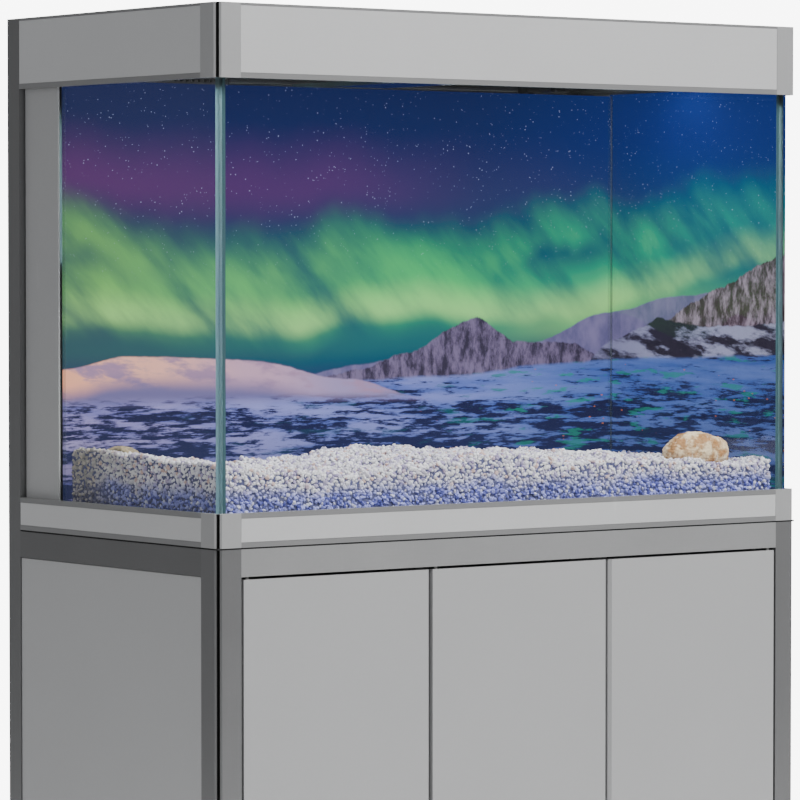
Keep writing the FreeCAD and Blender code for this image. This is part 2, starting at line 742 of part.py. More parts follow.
# Toothed strip on the partition edge, over the first section of the filter chamber, that keeps
# fish out of it.
comb_start = "-pane_right + seam_size"
comb_stop = "-first_baffle + baffle_thickness"
comb_bar = block("comb_bar", (comb_start, "partition_front", "weir"),
                 (comb_stop, "partition_back", "weir + comb_height"))
slots = []
slot_count = int(number(f"({comb_stop} - ({comb_start})) / comb_pitch")) - 1
for index in range(slot_count):
    slot_start = f"{comb_start} + comb_pitch * {index} + comb_pitch - comb_slot / 2"
    slots.append(block(f"comb_slot_{index}",
                       (slot_start, "partition_front - overshoot", "weir + comb_base"),
                       (f"{slot_start} + comb_slot", "partition_back + overshoot",
                        "weir + comb_height + overshoot")))
node("overflow_comb", cut("comb_cut", comb_bar, *slots))

# ---------------------------------------------------------------- gravel and rocks
# The bed's top is heaped at the left end and left of the middle, and lowest near the right end.
# CREST is its rise at even steps from left to right, in shares of the wave height.
bed_left = number("-pane_right + gravel_margin")
bed_right = number("pane_right - gravel_margin")
bed_low = number("bed_floor")
CREST = (2.3, 0.7, -0.17, -0.42, -0.08, 1.0, 1.08, 0.42, 0.0, 0.25, -0.33, -1.08, -0.83)
crest_step = (bed_right - bed_left) / (len(CREST) - 1)
crest = Part.BSplineCurve()
crest.interpolate([FreeCAD.Vector(bed_left + crest_step * step,
                                  number("pane_front + gravel_margin"),
                                  bed_low + number("gravel_depth") + number("gravel_wave") * rise)
                   for step, rise in enumerate(CREST)])
crest_edge = crest.toShape()
bed_y = number("pane_front + gravel_margin")
low_left = FreeCAD.Vector(bed_left, bed_y, bed_low)
low_right = FreeCAD.Vector(bed_right, bed_y, bed_low)
bed_wire = Part.Wire([
    Part.LineSegment(low_left, crest_edge.Vertexes[0].Point).toShape(), crest_edge,
    Part.LineSegment(crest_edge.Vertexes[1].Point, low_right).toShape(),
    Part.LineSegment(low_right, low_left).toShape()])
bed_length = number("film_face - gravel_margin") - bed_y
bed = doc.addObject("Part::Feature", "gravel")
bed.Shape = Part.Face(bed_wire).extrude(FreeCAD.Vector(0, bed_length, 0))
node("gravel_bed", bed)

# Rounded stones half sunk in the gravel, each a squashed ball: place and turn in degrees.
rocks = []
ROCKS = {
    "left_rock": ("left_rock_from_side - pane_right", "film_face - left_rock_from_film", 20),
    "right_rock": ("pane_right - right_rock_from_side",
                   "pane_front + right_rock_from_front", -15),
}
for rock_name, (rock_x, rock_y, turn) in ROCKS.items():
    stone = doc.addObject("Part::Ellipsoid", rock_name)
    stone.setExpression("Radius1", bind(f"{rock_name}_height"))
    stone.setExpression("Radius2", bind(f"{rock_name}_length"))
    stone.setExpression("Radius3", bind(f"{rock_name}_width"))
    stone.Placement = FreeCAD.Placement(FreeCAD.Vector(),
                                        FreeCAD.Rotation(FreeCAD.Vector(0, 0, 1), turn))
    rocks.append(place(stone, (rock_x, rock_y, "bed_floor + gravel_depth + rock_sink")))
node("rocks", group("rock_set", rocks))

# ---------------------------------------------------------------- filter chamber
# Open-topped basket with a slotted floor, ceramic rings in it and a sponge on top of them.
basket_left = "-pane_right + basket_gap + seam_size"
basket_right = "-first_baffle - basket_gap"
basket_front = "partition_back + basket_gap"
basket_back = "pane_back - basket_gap"
basket_floor = "bed_floor + basket_stand"
basket_top = f"{basket_floor} + basket_height"
basket_shell = block("basket_shell", (basket_left, basket_front, basket_floor),
                     (basket_right, basket_back, basket_top))
basket_core = block("basket_core",
                    (f"{basket_left} + basket_wall", f"{basket_front} + basket_wall",
                     f"{basket_floor} + basket_wall"),
                    (f"{basket_right} - basket_wall", f"{basket_back} - basket_wall",
                     f"{basket_top} + overshoot"))
drains = []
drain_count = int(number(f"(({basket_right}) - ({basket_left})) / (3 * drain_width)")) - 1
for index in range(drain_count):
    drain_start = f"{basket_left} + (3 * {index} + 2) * drain_width"
    drains.append(block(f"drain_{index}",
                        (drain_start, f"{basket_front} + 3 * basket_wall",
                         f"{basket_floor} - overshoot"),
                        (f"{drain_start} + drain_width", f"{basket_back} - 3 * basket_wall",
                         f"{basket_floor} + basket_wall + overshoot")))
node("media_basket", cut("basket_cut", basket_shell, basket_core, *drains))
sponge_top = f"{basket_top} - basket_wall"
media_wall = "basket_wall + media_gap"
node("filter_sponge", block("sponge_block",
                            (f"{basket_left} + {media_wall}", f"{basket_front} + {media_wall}",
                             f"{sponge_top} - sponge_height"),
                            (f"{basket_right} - ({media_wall})", f"{basket_back} - ({media_wall})",
                             sponge_top)))

ring_radius = number("ring_radius")
ring_length = number("ring_length")
ring_shape = Part.makeCylinder(ring_radius, ring_length).cut(
    Part.makeCylinder(number("ring_bore"), ring_length))
room_low = [number(f"{edge} + {media_wall}") for edge in (basket_left, basket_front, basket_floor)]
room_high = [number(f"{edge} - ({media_wall})") for edge in (basket_right, basket_back)]
room_high.append(number(f"{sponge_top} - sponge_height - media_gap"))
pitch = 2 * ring_radius + number("ring_gap")
layer_step = ring_length + number("media_gap")
ring_counts = [int((high_side - low_side) // step) for low_side, high_side, step
               in zip(room_low, room_high, (pitch, pitch, layer_step))]
rings = []
for column in range(ring_counts[0]):
    for line in range(ring_counts[1]):
        for layer in range(ring_counts[2]):
            ring = ring_shape.copy()
            ring.translate(FreeCAD.Vector(room_low[0] + pitch * (column + 0.5),
                                          room_low[1] + pitch * (line + 0.5),
                                          room_low[2] + layer_step * layer))
            rings.append(ring)
ring_heap = doc.addObject("Part::Feature", "ring_heap")
ring_heap.Shape = Part.makeCompound(rings)
node("ceramic_rings", ring_heap)

# Return pump in the last section, its riser pipe, and a nozzle that swivels over the partition.
pump_body = block("pump_body",
                  ("pipe_from_centre - pump_width / 2", "pipe_line - pump_depth / 2", "pump_floor"),
                  ("pipe_from_centre + pump_width / 2", "pipe_line + pump_depth / 2",
                   "pump_floor + pump_height"))
pump_stub = rod("pump_stub", ("pipe_from_centre", "pipe_line", "pump_floor + pump_height"),
                "pipe_radius + nozzle_wall", "pipe_radius * 2")
pump_intake = cone("pump_intake",
                   ("pipe_from_centre - pump_width / 4", "pipe_line", "pump_floor + pump_height"),
                   "pump_depth / 3", "pump_depth / 4", "pipe_radius")
pump_socket = rod("pump_socket", ("pipe_from_centre", "pipe_line",
                                  "pump_floor + pump_height - pipe_radius"),
                  "pipe_radius", "pipe_radius * 4")
node("return_pump", cut("pump_cut", fuse("pump_whole", pump_body, pump_stub, pump_intake),
                        pump_socket))
pipe_foot = "pump_floor + pump_height - pipe_radius"
riser = rod("riser", ("pipe_from_centre", "pipe_line", pipe_foot), "pipe_radius",
            f"pipe_end - ({pipe_foot})")
riser_bore = rod("riser_bore", ("pipe_from_centre", "pipe_line", f"{pipe_foot} - overshoot"),
                 "pipe_radius - pipe_wall", f"pipe_end - ({pipe_foot}) + 2 * overshoot")
node("return_pipe", cut("riser_tube", riser, riser_bore))

socket_radius = "pipe_radius + nozzle_wall"
socket = rod("nozzle_socket_body", ("pipe_from_centre", "pipe_line",
                                    "nozzle_top - nozzle_socket"),
             socket_radius, "nozzle_socket")
arm = rod("nozzle_arm", ("pipe_from_centre", "pipe_line - nozzle_arm_length", "nozzle_level"),
          "nozzle_arm_radius", "nozzle_arm_length", along="y")
socket_bore = rod("nozzle_socket_bore", ("pipe_from_centre", "pipe_line",
                                         "nozzle_top - nozzle_socket - overshoot"),
                  "pipe_radius + running_clearance",
                  "pipe_end - nozzle_top + nozzle_socket + nozzle_cap")
throat = rod("nozzle_throat", ("pipe_from_centre", "pipe_line", "pipe_end"),
             "pipe_radius - pipe_wall", "nozzle_top - pipe_end - pipe_wall / 2")
arm_bore = rod("nozzle_arm_bore", ("pipe_from_centre", "pipe_line - nozzle_arm_length - overshoot",
                                   "nozzle_level"),
               "nozzle_arm_radius - pipe_wall", "nozzle_arm_length - pipe_radius / 2", along="y")
node("return_nozzle", cut("nozzle_cut", fuse("nozzle_whole", socket, arm), socket_bore, throat,
                          arm_bore))

heater_floor = "bed_floor + baffle_lift"
tube_part = rod("heater_tube", ("heater_from_centre", "pipe_line", heater_floor),
                "heater_radius", "heater_length")
cap_part = rod("heater_cap_part", ("heater_from_centre", "pipe_line",
                                   f"{heater_floor} + heater_length"),
               "heater_radius + heater_cap_wall", "heater_cap")
node("heater", fuse("heater_whole", tube_part, cap_part))


# ---------------------------------------------------------------- hood
# Fascias with an inner ledge on the pane tops and a higher one under the lids. The higher ledge
# of the side fascias is broken where the cross rail meets them.
def fascia(face, ledge_low, ledge_high, rests):
    low, high, channel_low, channel_high = SHELL[face]
    pieces = [inlaid(f"fascia_{face}_web", (*low, "hood_bottom"), (*high, "hood_top"),
                     channel_low, channel_high, "lip_height", "hood_top_lip"),
              block(f"fascia_{face}_ledge", (*ledge_low, "pane_top"),
                    (*ledge_high, "pane_top + ledge_thickness"))]
    for index, (rest_low, rest_high) in enumerate(rests):
        pieces.append(block(f"fascia_{face}_rest_{index}",
                            (*rest_low, "lid_bottom - ledge_thickness"),
                            (*rest_high, "lid_bottom")))
    return fuse(f"fascia_{face}", *pieces)


node("hood_fascia_front", fascia(
    "front",
    ("-inner_right", "trim_inner_front"), ("inner_right", "trim_inner_front + ledge_width"),
    [(("-inner_right", "trim_inner_front"),
      ("inner_right", "trim_inner_front + lid_ledge_width"))]))
node("hood_fascia_back", fascia(
    "back",
    ("-inner_right", "pane_back"), ("inner_right", trim_inner_back),
    [(("-inner_right", f"{trim_inner_back} - lid_ledge_width"),
      ("inner_right", trim_inner_back))]))
side_fascias = []
rest_runs = (("-inner_back", "ear_front - lid_gap"), ("ear_back + lid_gap", "inner_back"))
for side_name, side in SIDES.items():
    def across(outer, inner):
        """The two X limits of a strip between an outer and an inner plane, in rising order."""
        pair = [signed(side, outer), signed(side, inner)]
        return pair if side < 0 else pair[::-1]

    ledge_x = across("trim_inner_right", "trim_inner_right - ledge_width")
    rest_x = across("trim_inner_right", "trim_inner_right - lid_ledge_width")
    side_fascias.append(fascia(
        side_name,
        (ledge_x[0], "-inner_back"), (ledge_x[1], "inner_back"),
        [((rest_x[0], start), (rest_x[1], stop)) for start, stop in rest_runs]))
node("hood_fascia_sides", group("fascia_side_pair", side_fascias))

# Cross rail between the side fascias, with ears that hold the lid pins.
rail = block("cross_rail_bar",
             ("-trim_inner_right", "cross_rail_front", "cross_rail_top - cross_rail_height"),
             ("trim_inner_right", "cross_rail_back", "cross_rail_top"))
end_ear_inner = "trim_inner_right - hinge_side_gap - hinge_ear_width"
ears = []
for side_name, side in SIDES.items():
    spans = [signed(side, "trim_inner_right - hinge_side_gap"), signed(side, end_ear_inner)]
    if side > 0:
        spans.reverse()
    ears.append(block(f"end_ear_{side_name}", (spans[0], "ear_front", "cross_rail_top"),
                      (spans[1], "ear_back", "cross_rail_top + hinge_ear_rise")))
ears.append(block("centre_ear", ("-hinge_ear_width / 2", "ear_front", "cross_rail_top"),
                  ("hinge_ear_width / 2", "cross_rail_back", "cross_rail_top + hinge_ear_rise")))
pin_bores = [rod(f"{place_name}_pin_bore", ("-right", line, "lid_axis_level"),
                 "hinge_pin_radius + running_clearance", "overall_width", along="x")
             for place_name, line in (("front", "front_lid_axis"), ("filter", "filter_lid_axis"))]
node("hood_cross_rail", cut("cross_rail_bored", fuse("cross_rail_whole", rail, *ears), *pin_bores))


# Lids: a moulded panel with a grip rib, and a hinge barrel with a pin at each end.
def barrel(name, start, stop, axis_line, leaf_low, leaf_high):
    leaf = block(f"{name}_leaf", (start, leaf_low, "lid_bottom"), (stop, leaf_high, "lid_top"))
    roll = rod(f"{name}_barrel", (start, axis_line, "lid_axis_level"),
               "hinge_barrel_radius", f"({stop}) - ({start})", along="x")
    pin = rod(f"{name}_pin", (f"{start} - hinge_pin_reach - hinge_side_gap", axis_line,
                              "lid_axis_level"),
              "hinge_pin_radius",
              f"({stop}) - ({start}) + 2 * hinge_pin_reach + 2 * hinge_side_gap", along="x")
    return [leaf, roll, pin]


panel_back = "front_lid_axis - hinge_leaf"
lid_spans = {
    "left": ("-trim_inner_right + lid_gap", "-lid_gap / 2",
             f"-({end_ear_inner}) + hinge_side_gap", "-hinge_ear_width / 2 - hinge_side_gap"),
    "right": ("lid_gap / 2", "trim_inner_right - lid_gap",
              "hinge_ear_width / 2 + hinge_side_gap", f"{end_ear_inner} - hinge_side_gap"),
}
for side_name, (start, stop, roll_start, roll_stop) in lid_spans.items():
    inner_stop = f"(({start}) + ({stop})) / 2"
    outer_edge = (("-inner_right + lid_gap", stop) if side_name == "left"
                  else (start, "inner_right - lid_gap"))
    main_panel = block(f"lid_{side_name}_panel", (start, "-inner_back + lid_gap", "lid_bottom"),
                       (stop, panel_back, "lid_top"))
    nose_panel = block(f"lid_{side_name}_nose",
                       (outer_edge[0], "trim_inner_front + lid_gap", "lid_bottom"),
                       (outer_edge[1], "-inner_back + lid_gap", "lid_top"))
    grip = block(f"lid_{side_name}_grip",
                 (f"{inner_stop} - lid_grip_length / 2", "trim_inner_front + lid_grip_inset",
                  "lid_top"),
                 (f"{inner_stop} + lid_grip_length / 2",
                  "trim_inner_front + lid_grip_inset + lid_grip_width",
                  "lid_top + lid_grip_height"))
    pieces = barrel(f"lid_{side_name}", roll_start, roll_stop, "front_lid_axis", panel_back,
                    "front_lid_axis")
    node(f"hood_lid_{side_name}",
         fuse(f"lid_{side_name}_whole", main_panel, nose_panel, grip, *pieces))

filter_front = "filter_lid_axis + hinge_leaf"
filter_main = block("filter_lid_panel", ("-trim_inner_right + lid_gap", filter_front, "lid_bottom"),
                    ("trim_inner_right - lid_gap", "inner_back - lid_gap", "lid_top"))
filter_tail = block("filter_lid_tail", ("-inner_right + lid_gap", "inner_back - lid_gap",
                                        "lid_bottom"),
                    ("inner_right - lid_gap", "back - trim_thickness - lid_gap", "lid_top"))
filter_grip = block("filter_lid_grip",
                    ("-lid_grip_length / 2", "inner_back - lid_grip_width", "lid_top"),
                    ("lid_grip_length / 2", "inner_back", "lid_top + lid_grip_height"))
filter_hinge = barrel("filter_lid", f"-({end_ear_inner}) + hinge_side_gap",
                      f"{end_ear_inner} - hinge_side_gap", "filter_lid_axis",
                      "filter_lid_axis", filter_front)
node("filter_lid", fuse("filter_lid_whole", filter_main, filter_tail, filter_grip, *filter_hinge))

# ---------------------------------------------------------------- lamp
# LED bar across the tank, resting on the side ledges, with a diffuser sheet in its underside.
lamp_case = block("lamp_case", ("-trim_inner_right + lamp_end_gap", "-lamp_front", "lamp_level"),
                  ("trim_inner_right - lamp_end_gap", "-lamp_front + lamp_width",
                   "lamp_level + lamp_height"))
lamp_window = [("-trim_inner_right + ledge_width + lamp_end_gap", "-lamp_front + lamp_bezel"),
               ("trim_inner_right - ledge_width - lamp_end_gap",
                "-lamp_front + lamp_width - lamp_bezel")]
lamp_recess = block("lamp_recess", (*lamp_window[0], "lamp_level - overshoot"),
                    (*lamp_window[1], "lamp_level + diffuser_thickness"))
node("lamp_housing", cut("lamp_housing_cut", lamp_case, lamp_recess))
node("lamp_diffuser", block("diffuser_sheet", (*lamp_window[0], "lamp_level"),
                            (*lamp_window[1], "lamp_level + diffuser_thickness")))

# ---------------------------------------------------------------- check and write
doc.recompute()
for item in doc.Objects:
    if "Invalid" in item.State or "Error" in item.State:
        raise RuntimeError(f"{item.Name} did not build: {item.State}")
for item in nodes:
    if item.Shape.isNull() or not item.Shape.isValid():
        raise RuntimeError(f"{item.Label} has no valid shape")

os.makedirs("parts", exist_ok=True)
for item in nodes:
    item.Shape.exportStep(f"parts/{item.Label}.step")
print(len(nodes), "sub-parts written")
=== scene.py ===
import bmesh
import bpy
import math
import numpy as np
from mathutils import Matrix, Vector, noise


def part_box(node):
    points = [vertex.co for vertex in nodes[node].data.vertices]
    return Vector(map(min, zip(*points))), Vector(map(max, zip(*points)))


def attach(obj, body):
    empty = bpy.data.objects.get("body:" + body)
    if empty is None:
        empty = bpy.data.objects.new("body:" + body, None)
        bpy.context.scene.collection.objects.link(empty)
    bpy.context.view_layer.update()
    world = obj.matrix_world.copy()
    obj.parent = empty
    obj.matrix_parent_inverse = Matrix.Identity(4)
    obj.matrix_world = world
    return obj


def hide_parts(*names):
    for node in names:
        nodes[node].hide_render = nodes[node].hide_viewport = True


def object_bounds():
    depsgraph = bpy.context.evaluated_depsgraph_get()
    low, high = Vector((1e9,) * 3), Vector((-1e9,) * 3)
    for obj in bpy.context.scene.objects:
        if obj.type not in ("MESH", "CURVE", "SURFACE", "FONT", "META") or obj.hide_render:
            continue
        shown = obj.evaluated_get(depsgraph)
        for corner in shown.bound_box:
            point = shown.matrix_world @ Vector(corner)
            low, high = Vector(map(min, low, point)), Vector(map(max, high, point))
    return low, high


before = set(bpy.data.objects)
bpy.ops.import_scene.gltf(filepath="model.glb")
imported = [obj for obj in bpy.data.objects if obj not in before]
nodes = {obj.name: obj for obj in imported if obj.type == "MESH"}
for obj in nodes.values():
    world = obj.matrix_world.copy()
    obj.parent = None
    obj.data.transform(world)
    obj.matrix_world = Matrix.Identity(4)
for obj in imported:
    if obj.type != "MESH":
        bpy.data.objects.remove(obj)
cad_box = [list(corner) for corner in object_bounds()]
low, high = (Vector(corner) for corner in cad_box)

# Camera: stands off the front left corner, a little below the top of the hood, and looks
# slightly down through a long lens.
camera = bpy.data.objects.new("camera", bpy.data.cameras.new("camera"))
bpy.context.scene.collection.objects.link(camera)
SENSOR_WIDTH, LENS_LENGTH, VIEW_REACH = 36, 187.6, 60
CAMERA_PLACE = (-4.230, -5.606, 1.151)
CAMERA_TURN, CAMERA_TILT = math.radians(36.94), math.radians(1.95)
camera.data.sensor_width = SENSOR_WIDTH
camera.data.lens = LENS_LENGTH
camera.data.clip_end = VIEW_REACH
camera.location = CAMERA_PLACE
camera.rotation_euler = (math.pi / 2 - CAMERA_TILT, 0, -CAMERA_TURN)
bpy.context.scene.camera = camera

# Studio: a pale round floor, an even white surround, a large key light high to the front right,
# and a weaker light from the left. The surround lights the object less than it shows.
FLOOR_RADIUS = 1.9
floor_mesh = bmesh.new()
bmesh.ops.create_circle(floor_mesh, cap_ends=True, segments=96, radius=FLOOR_RADIUS)
floor = bpy.data.objects.new("studio_floor", bpy.data.meshes.new("studio_floor"))
floor_mesh.to_mesh(floor.data)
floor_mesh.free()
bpy.context.scene.collection.objects.link(floor)
floor_paint = bpy.data.materials.new("studio_floor")
floor_paint.use_nodes = True
floor_shader = floor_paint.node_tree.nodes["Principled BSDF"]
floor_shader.inputs["Base Color"].default_value = (0.8, 0.8, 0.8, 1)
floor_shader.inputs["Roughness"].default_value = 0.8
floor.data.materials.append(floor_paint)

LIT_STRENGTH, SEEN_STRENGTH, MIRRORED_STRENGTH = 0.42, 8.0, 0.14
surround = bpy.data.worlds.new("surround")
surround.use_nodes = True
bpy.context.scene.world = surround
sky_nodes, sky_links = surround.node_tree.nodes, surround.node_tree.links
sky_lamp = sky_nodes["Background"]
sky_lamp.inputs["Color"].default_value = (0.95, 0.97, 1.0, 1)
sky_lamp.inputs["Strength"].default_value = LIT_STRENGTH
sky_seen = sky_nodes.new("ShaderNodeBackground")
sky_seen.inputs["Color"].default_value = (1, 1, 1, 1)
sky_seen.inputs["Strength"].default_value = SEEN_STRENGTH
sky_mirrored = sky_nodes.new("ShaderNodeBackground")
sky_mirrored.inputs["Color"].default_value = (0.97, 0.98, 1.0, 1)
sky_mirrored.inputs["Strength"].default_value = MIRRORED_STRENGTH
sky_ray = sky_nodes.new("ShaderNodeLightPath")
sky_dim = sky_nodes.new("ShaderNodeMixShader")
sky_links.new(sky_ray.outputs["Is Glossy Ray"], sky_dim.inputs[0])
sky_links.new(sky_lamp.outputs[0], sky_dim.inputs[1])
sky_links.new(sky_mirrored.outputs[0], sky_dim.inputs[2])
sky_mix = sky_nodes.new("ShaderNodeMixShader")
sky_links.new(sky_ray.outputs["Is Camera Ray"], sky_mix.inputs[0])
sky_links.new(sky_dim.outputs[0], sky_mix.inputs[1])
sky_links.new(sky_seen.outputs[0], sky_mix.inputs[2])
sky_links.new(sky_mix.outputs[0], sky_nodes["World Output"].inputs[0])


def softbox(name, place, target, width, height, power):
    """Rectangular studio light of a given power in watts at a place, turned to a target."""
    data = bpy.data.lights.new(name, "AREA")
    data.shape = "RECTANGLE"
    data.size, data.size_y = width, height
    data.energy = power
    lamp = bpy.data.objects.new(name, data)
    lamp.location = place
    lamp.rotation_euler = (Vector(target) - Vector(place)).to_track_quat("-Z", "Y").to_euler()
    bpy.context.scene.collection.objects.link(lamp)
    return lamp


middle = (low + high) / 2
softbox("key_front_right", (1.4, -4.6, 5.2), middle, 3.4, 2.6, 560)
softbox("fill_left", (-5.0, 0.6, 2.4), middle, 2.0, 2.4, 22)
softbox("fill_back", (1.5, 4.0, 3.4), middle, 2.6, 2.4, 110)
softbox("fill_top", (0, 0, 4.6), middle, 2.4, 1.6, 40)


# ------------------------------------------------------------------ posts and rails
# Aluminium extrusions with a dark satin anodised skin. The die leaves fine lines along each one,
# and handling leaves faint cloudy marks and a few scuffs.
def feed(tree, socket, value):
    """Give an input another node's output, or a plain value."""
    if isinstance(value, bpy.types.NodeSocket):
        tree.links.new(value, socket)
    elif value is not None:
        socket.default_value = value


def sum_up(tree, operation, first, second=None, third=None, clamp=False):
    """Maths node on outputs or plain numbers."""
    item = tree.nodes.new("ShaderNodeMath")
    item.operation = operation
    item.use_clamp = clamp
    for socket, value in zip(item.inputs, (first, second, third)):
        feed(tree, socket, value)
    return item.outputs[0]


def ease(tree, value, start, stop, low_end=0.0, high_end=1.0):
    """Smooth step of a value from start to stop."""
    item = tree.nodes.new("ShaderNodeMapRange")
    item.interpolation_type = "SMOOTHSTEP"
    for label, amount in (("Value", value), ("From Min", start), ("From Max", stop),
                          ("To Min", low_end), ("To Max", high_end)):
        feed(tree, item.inputs[label], amount)
    return item.outputs[0]


def cloud(tree, vector, scale, detail=3.0, rough=0.5):
    """Soft noise between 0 and 1 at places given by a vector."""
    item = tree.nodes.new("ShaderNodeTexNoise")
    for label, amount in (("Vector", vector), ("Scale", scale), ("Detail", detail),
                          ("Roughness", rough)):
        feed(tree, item.inputs[label], amount)
    return item.outputs[0]


def stretch(tree, vector, amounts, shift=(0, 0, 0)):
    """Places scaled along each axis and moved, so that a pattern on them is drawn out."""
    item = tree.nodes.new("ShaderNodeMapping")
    feed(tree, item.inputs["Vector"], vector)
    feed(tree, item.inputs["Scale"], amounts)
    feed(tree, item.inputs["Location"], shift)
    return item.outputs[0]


def tint(tree, share, under, over):
    """Colour mix of two colours by a share."""
    item = tree.nodes.new("ShaderNodeMix")
    item.data_type = "RGBA"
    feed(tree, item.inputs[0], share)
    for socket, value in ((item.inputs[6], under), (item.inputs[7], over)):
        feed(tree, socket, (*value, 1) if isinstance(value, tuple) else value)
    return item.outputs[2]


def new_effect(name, takes, gives):
    """Empty shader node group with named number inputs and number or colour outputs."""
    group = bpy.data.node_groups.new(name, "ShaderNodeTree")
    for label, value in takes.items():
        socket = group.interface.new_socket(label, in_out="INPUT", socket_type="NodeSocketFloat")
        socket.default_value = value
    for label in gives:
        kind = "NodeSocketColor" if label.endswith("Color") else "NodeSocketFloat"
        group.interface.new_socket(label, in_out="OUTPUT", socket_type=kind)
    taken_in, given_out = (group.nodes.new(f"NodeGroup{end}") for end in ("Input", "Output"))
    return group, taken_in.outputs, given_out.inputs


def own_place(tree):
    """Places on the piece itself, in metres."""
    return tree.nodes.new("ShaderNodeTexCoord").outputs["Object"]


GRAIN_DEPTH = 0.0004
skin_grain, taken, given = new_effect(
    "skin_grain", {"X lines": 1.0, "Y lines": 1.0, "Z lines": 1.0, "Fine": 0.12, "Marks": 0.25,
                   "Speck": 0.05}, ("Tone", "Rough", "Height"))
place = own_place(skin_grain)
line_scale = skin_grain.nodes.new("ShaderNodeCombineXYZ")
for letter in "XYZ":
    feed(skin_grain, line_scale.inputs[letter], taken[f"{letter} lines"])
drawn = skin_grain.nodes.new("ShaderNodeVectorMath")
drawn.operation = "MULTIPLY"
feed(skin_grain, drawn.inputs[0], place)
feed(skin_grain, drawn.inputs[1], line_scale.outputs[0])
fine_lines = cloud(skin_grain, drawn.outputs[0], 900, 3, 0.6)
marks = cloud(skin_grain, place, 4.5, 5, 0.6)
specks = cloud(skin_grain, place, 240, 2, 0.5)
scuffs = ease(skin_grain, cloud(skin_grain, stretch(skin_grain, place, (60, 60, 9)), 1, 2, 0.4),
              0.74, 0.8)
tone = sum_up(skin_grain, "MULTIPLY_ADD", sum_up(skin_grain, "SUBTRACT", fine_lines, 0.5),
              taken["Fine"], 1.0)
tone = sum_up(skin_grain, "MULTIPLY_ADD", sum_up(skin_grain, "SUBTRACT", marks, 0.5),
              taken["Marks"], tone)
tone = sum_up(skin_grain, "MULTIPLY_ADD", sum_up(skin_grain, "SUBTRACT", specks, 0.5),
              taken["Speck"], tone)
tone = sum_up(skin_grain, "MULTIPLY_ADD", scuffs, 0.05, tone)
feed(skin_grain, given["Tone"], tone)
shine = sum_up(skin_grain, "MULTIPLY_ADD", marks, 0.14, -0.07)
feed(skin_grain, given["Rough"], sum_up(skin_grain, "MULTIPLY_ADD", scuffs, 0.12, shine))
feed(skin_grain, given["Height"], sum_up(skin_grain, "ADD", fine_lines,
                                         sum_up(skin_grain, "MULTIPLY", specks, 0.5)))


def blank_finish(name):
    """New material with its node tree and its main shader."""
    made = bpy.data.materials.new(name)
    made.use_nodes = True
    return made, made.node_tree, made.node_tree.nodes["Principled BSDF"]


def emboss(tree, shader, height, strength, depth):
    """Fine relief on a shader from a height pattern."""
    bumps = tree.nodes.new("ShaderNodeBump")
    bumps.inputs["Strength"].default_value = strength
    bumps.inputs["Distance"].default_value = depth
    feed(tree, bumps.inputs["Height"], height)
    feed(tree, shader.inputs["Normal"], bumps.outputs[0])


def skin(name, colour, roughness, metal=0.0, lines=(1, 1, 1), fine=0.12, marks=0.25, speck=0.05,
         bump=0.03, extras=()):
    """Principled finish whose colour, roughness and bump follow the grain effect."""
    made, tree, shader = blank_finish(name)
    shader.inputs["Metallic"].default_value = metal
    for label, amount in dict(extras).items():
        shader.inputs[label].default_value = amount
    grain = tree.nodes.new("ShaderNodeGroup")
    grain.node_tree = skin_grain
    for letter, amount in zip("XYZ", lines):
        grain.inputs[f"{letter} lines"].default_value = amount
    for label, amount in (("Fine", fine), ("Marks", marks), ("Speck", speck)):
        grain.inputs[label].default_value = amount
    shade = tree.nodes.new("ShaderNodeVectorMath")
    shade.operation = "SCALE"
    shade.inputs[0].default_value = colour
    feed(tree, shade.inputs["Scale"], grain.outputs["Tone"])
    feed(tree, shader.inputs["Base Color"], shade.outputs[0])
    feed(tree, shader.inputs["Roughness"],
         sum_up(tree, "ADD", grain.outputs["Rough"], roughness, clamp=True))
    emboss(tree, shader, grain.outputs["Height"], bump, GRAIN_DEPTH)
    return made


def dress(material, *names):
    """Give carried-over pieces a finish."""
    for name in names:
        nodes[name].data.materials.clear()
        nodes[name].data.materials.append(material)


# Painted shade in the corner grooves of the posts and corner pieces: the groove faces are coloured
# near-black.
GROOVE_REACH = 0.0062
GROOVE_SHADE = (0.008, 0.008, 0.008)


def shade_groove(material):
    """Painted shade: near-black colour in the narrow groove that runs down the outer corner of an
    extrusion.
    """
    tree = material.node_tree
    colour = tree.nodes["Principled BSDF"].inputs["Base Color"]
    plain = colour.links[0].from_socket
    spot = tree.nodes.new("ShaderNodeSeparateXYZ")
    feed(tree, spot.inputs[0], own_place(tree))
    inside = [sum_up(tree, "GREATER_THAN", sum_up(tree, "ABSOLUTE", spot.outputs[letter]),
                     edge - GROOVE_REACH) for letter, edge in (("X", high.x), ("Y", high.y))]
    feed(tree, colour, tint(tree, sum_up(tree, "MULTIPLY", *inside), plain, GROOVE_SHADE))
    return material


# Posts and rails are one anodised aluminium. The rails' grey is painted lighter than the posts' to
# make up for the shadow under the trims, and the side rails' grey is painted darker as shade on the
# sides.
POST_GREY, RAIL_GREY, SIDE_RAIL_SHADED_GREY = (0.22, 0.22, 0.222), (0.42, 0.42, 0.422), (0.2, 0.2, 0.202)
dress(shade_groove(skin("post_anodised", POST_GREY, 0.36, 0.5, (1, 1, 0.02), 0.1, 0.1)),
      "post_front_left", "post_front_right", "post_rear_left", "post_rear_right",
      "door_mullions")
dress(skin("rail_anodised", RAIL_GREY, 0.36, 0.5, (0.02, 1, 1), 0.1, 0.1),
      "front_rails", "rear_rails", "hood_cross_rail")
dress(skin("side_rail_painted_shade", SIDE_RAIL_SHADED_GREY, 0.36, 0.5, (1, 0.02, 1), 0.1, 0.1),
      "side_rails")

# ------------------------------------------------------------------ corner pieces
# Grooved corner extrusions on the base trim and the hood, in the same satin skin as the posts.
dress(shade_groove(skin("corner_anodised", RAIL_GREY, 0.36, 0.3, (1, 1, 0.02), 0.1, 0.1)),
      "corner_pieces")

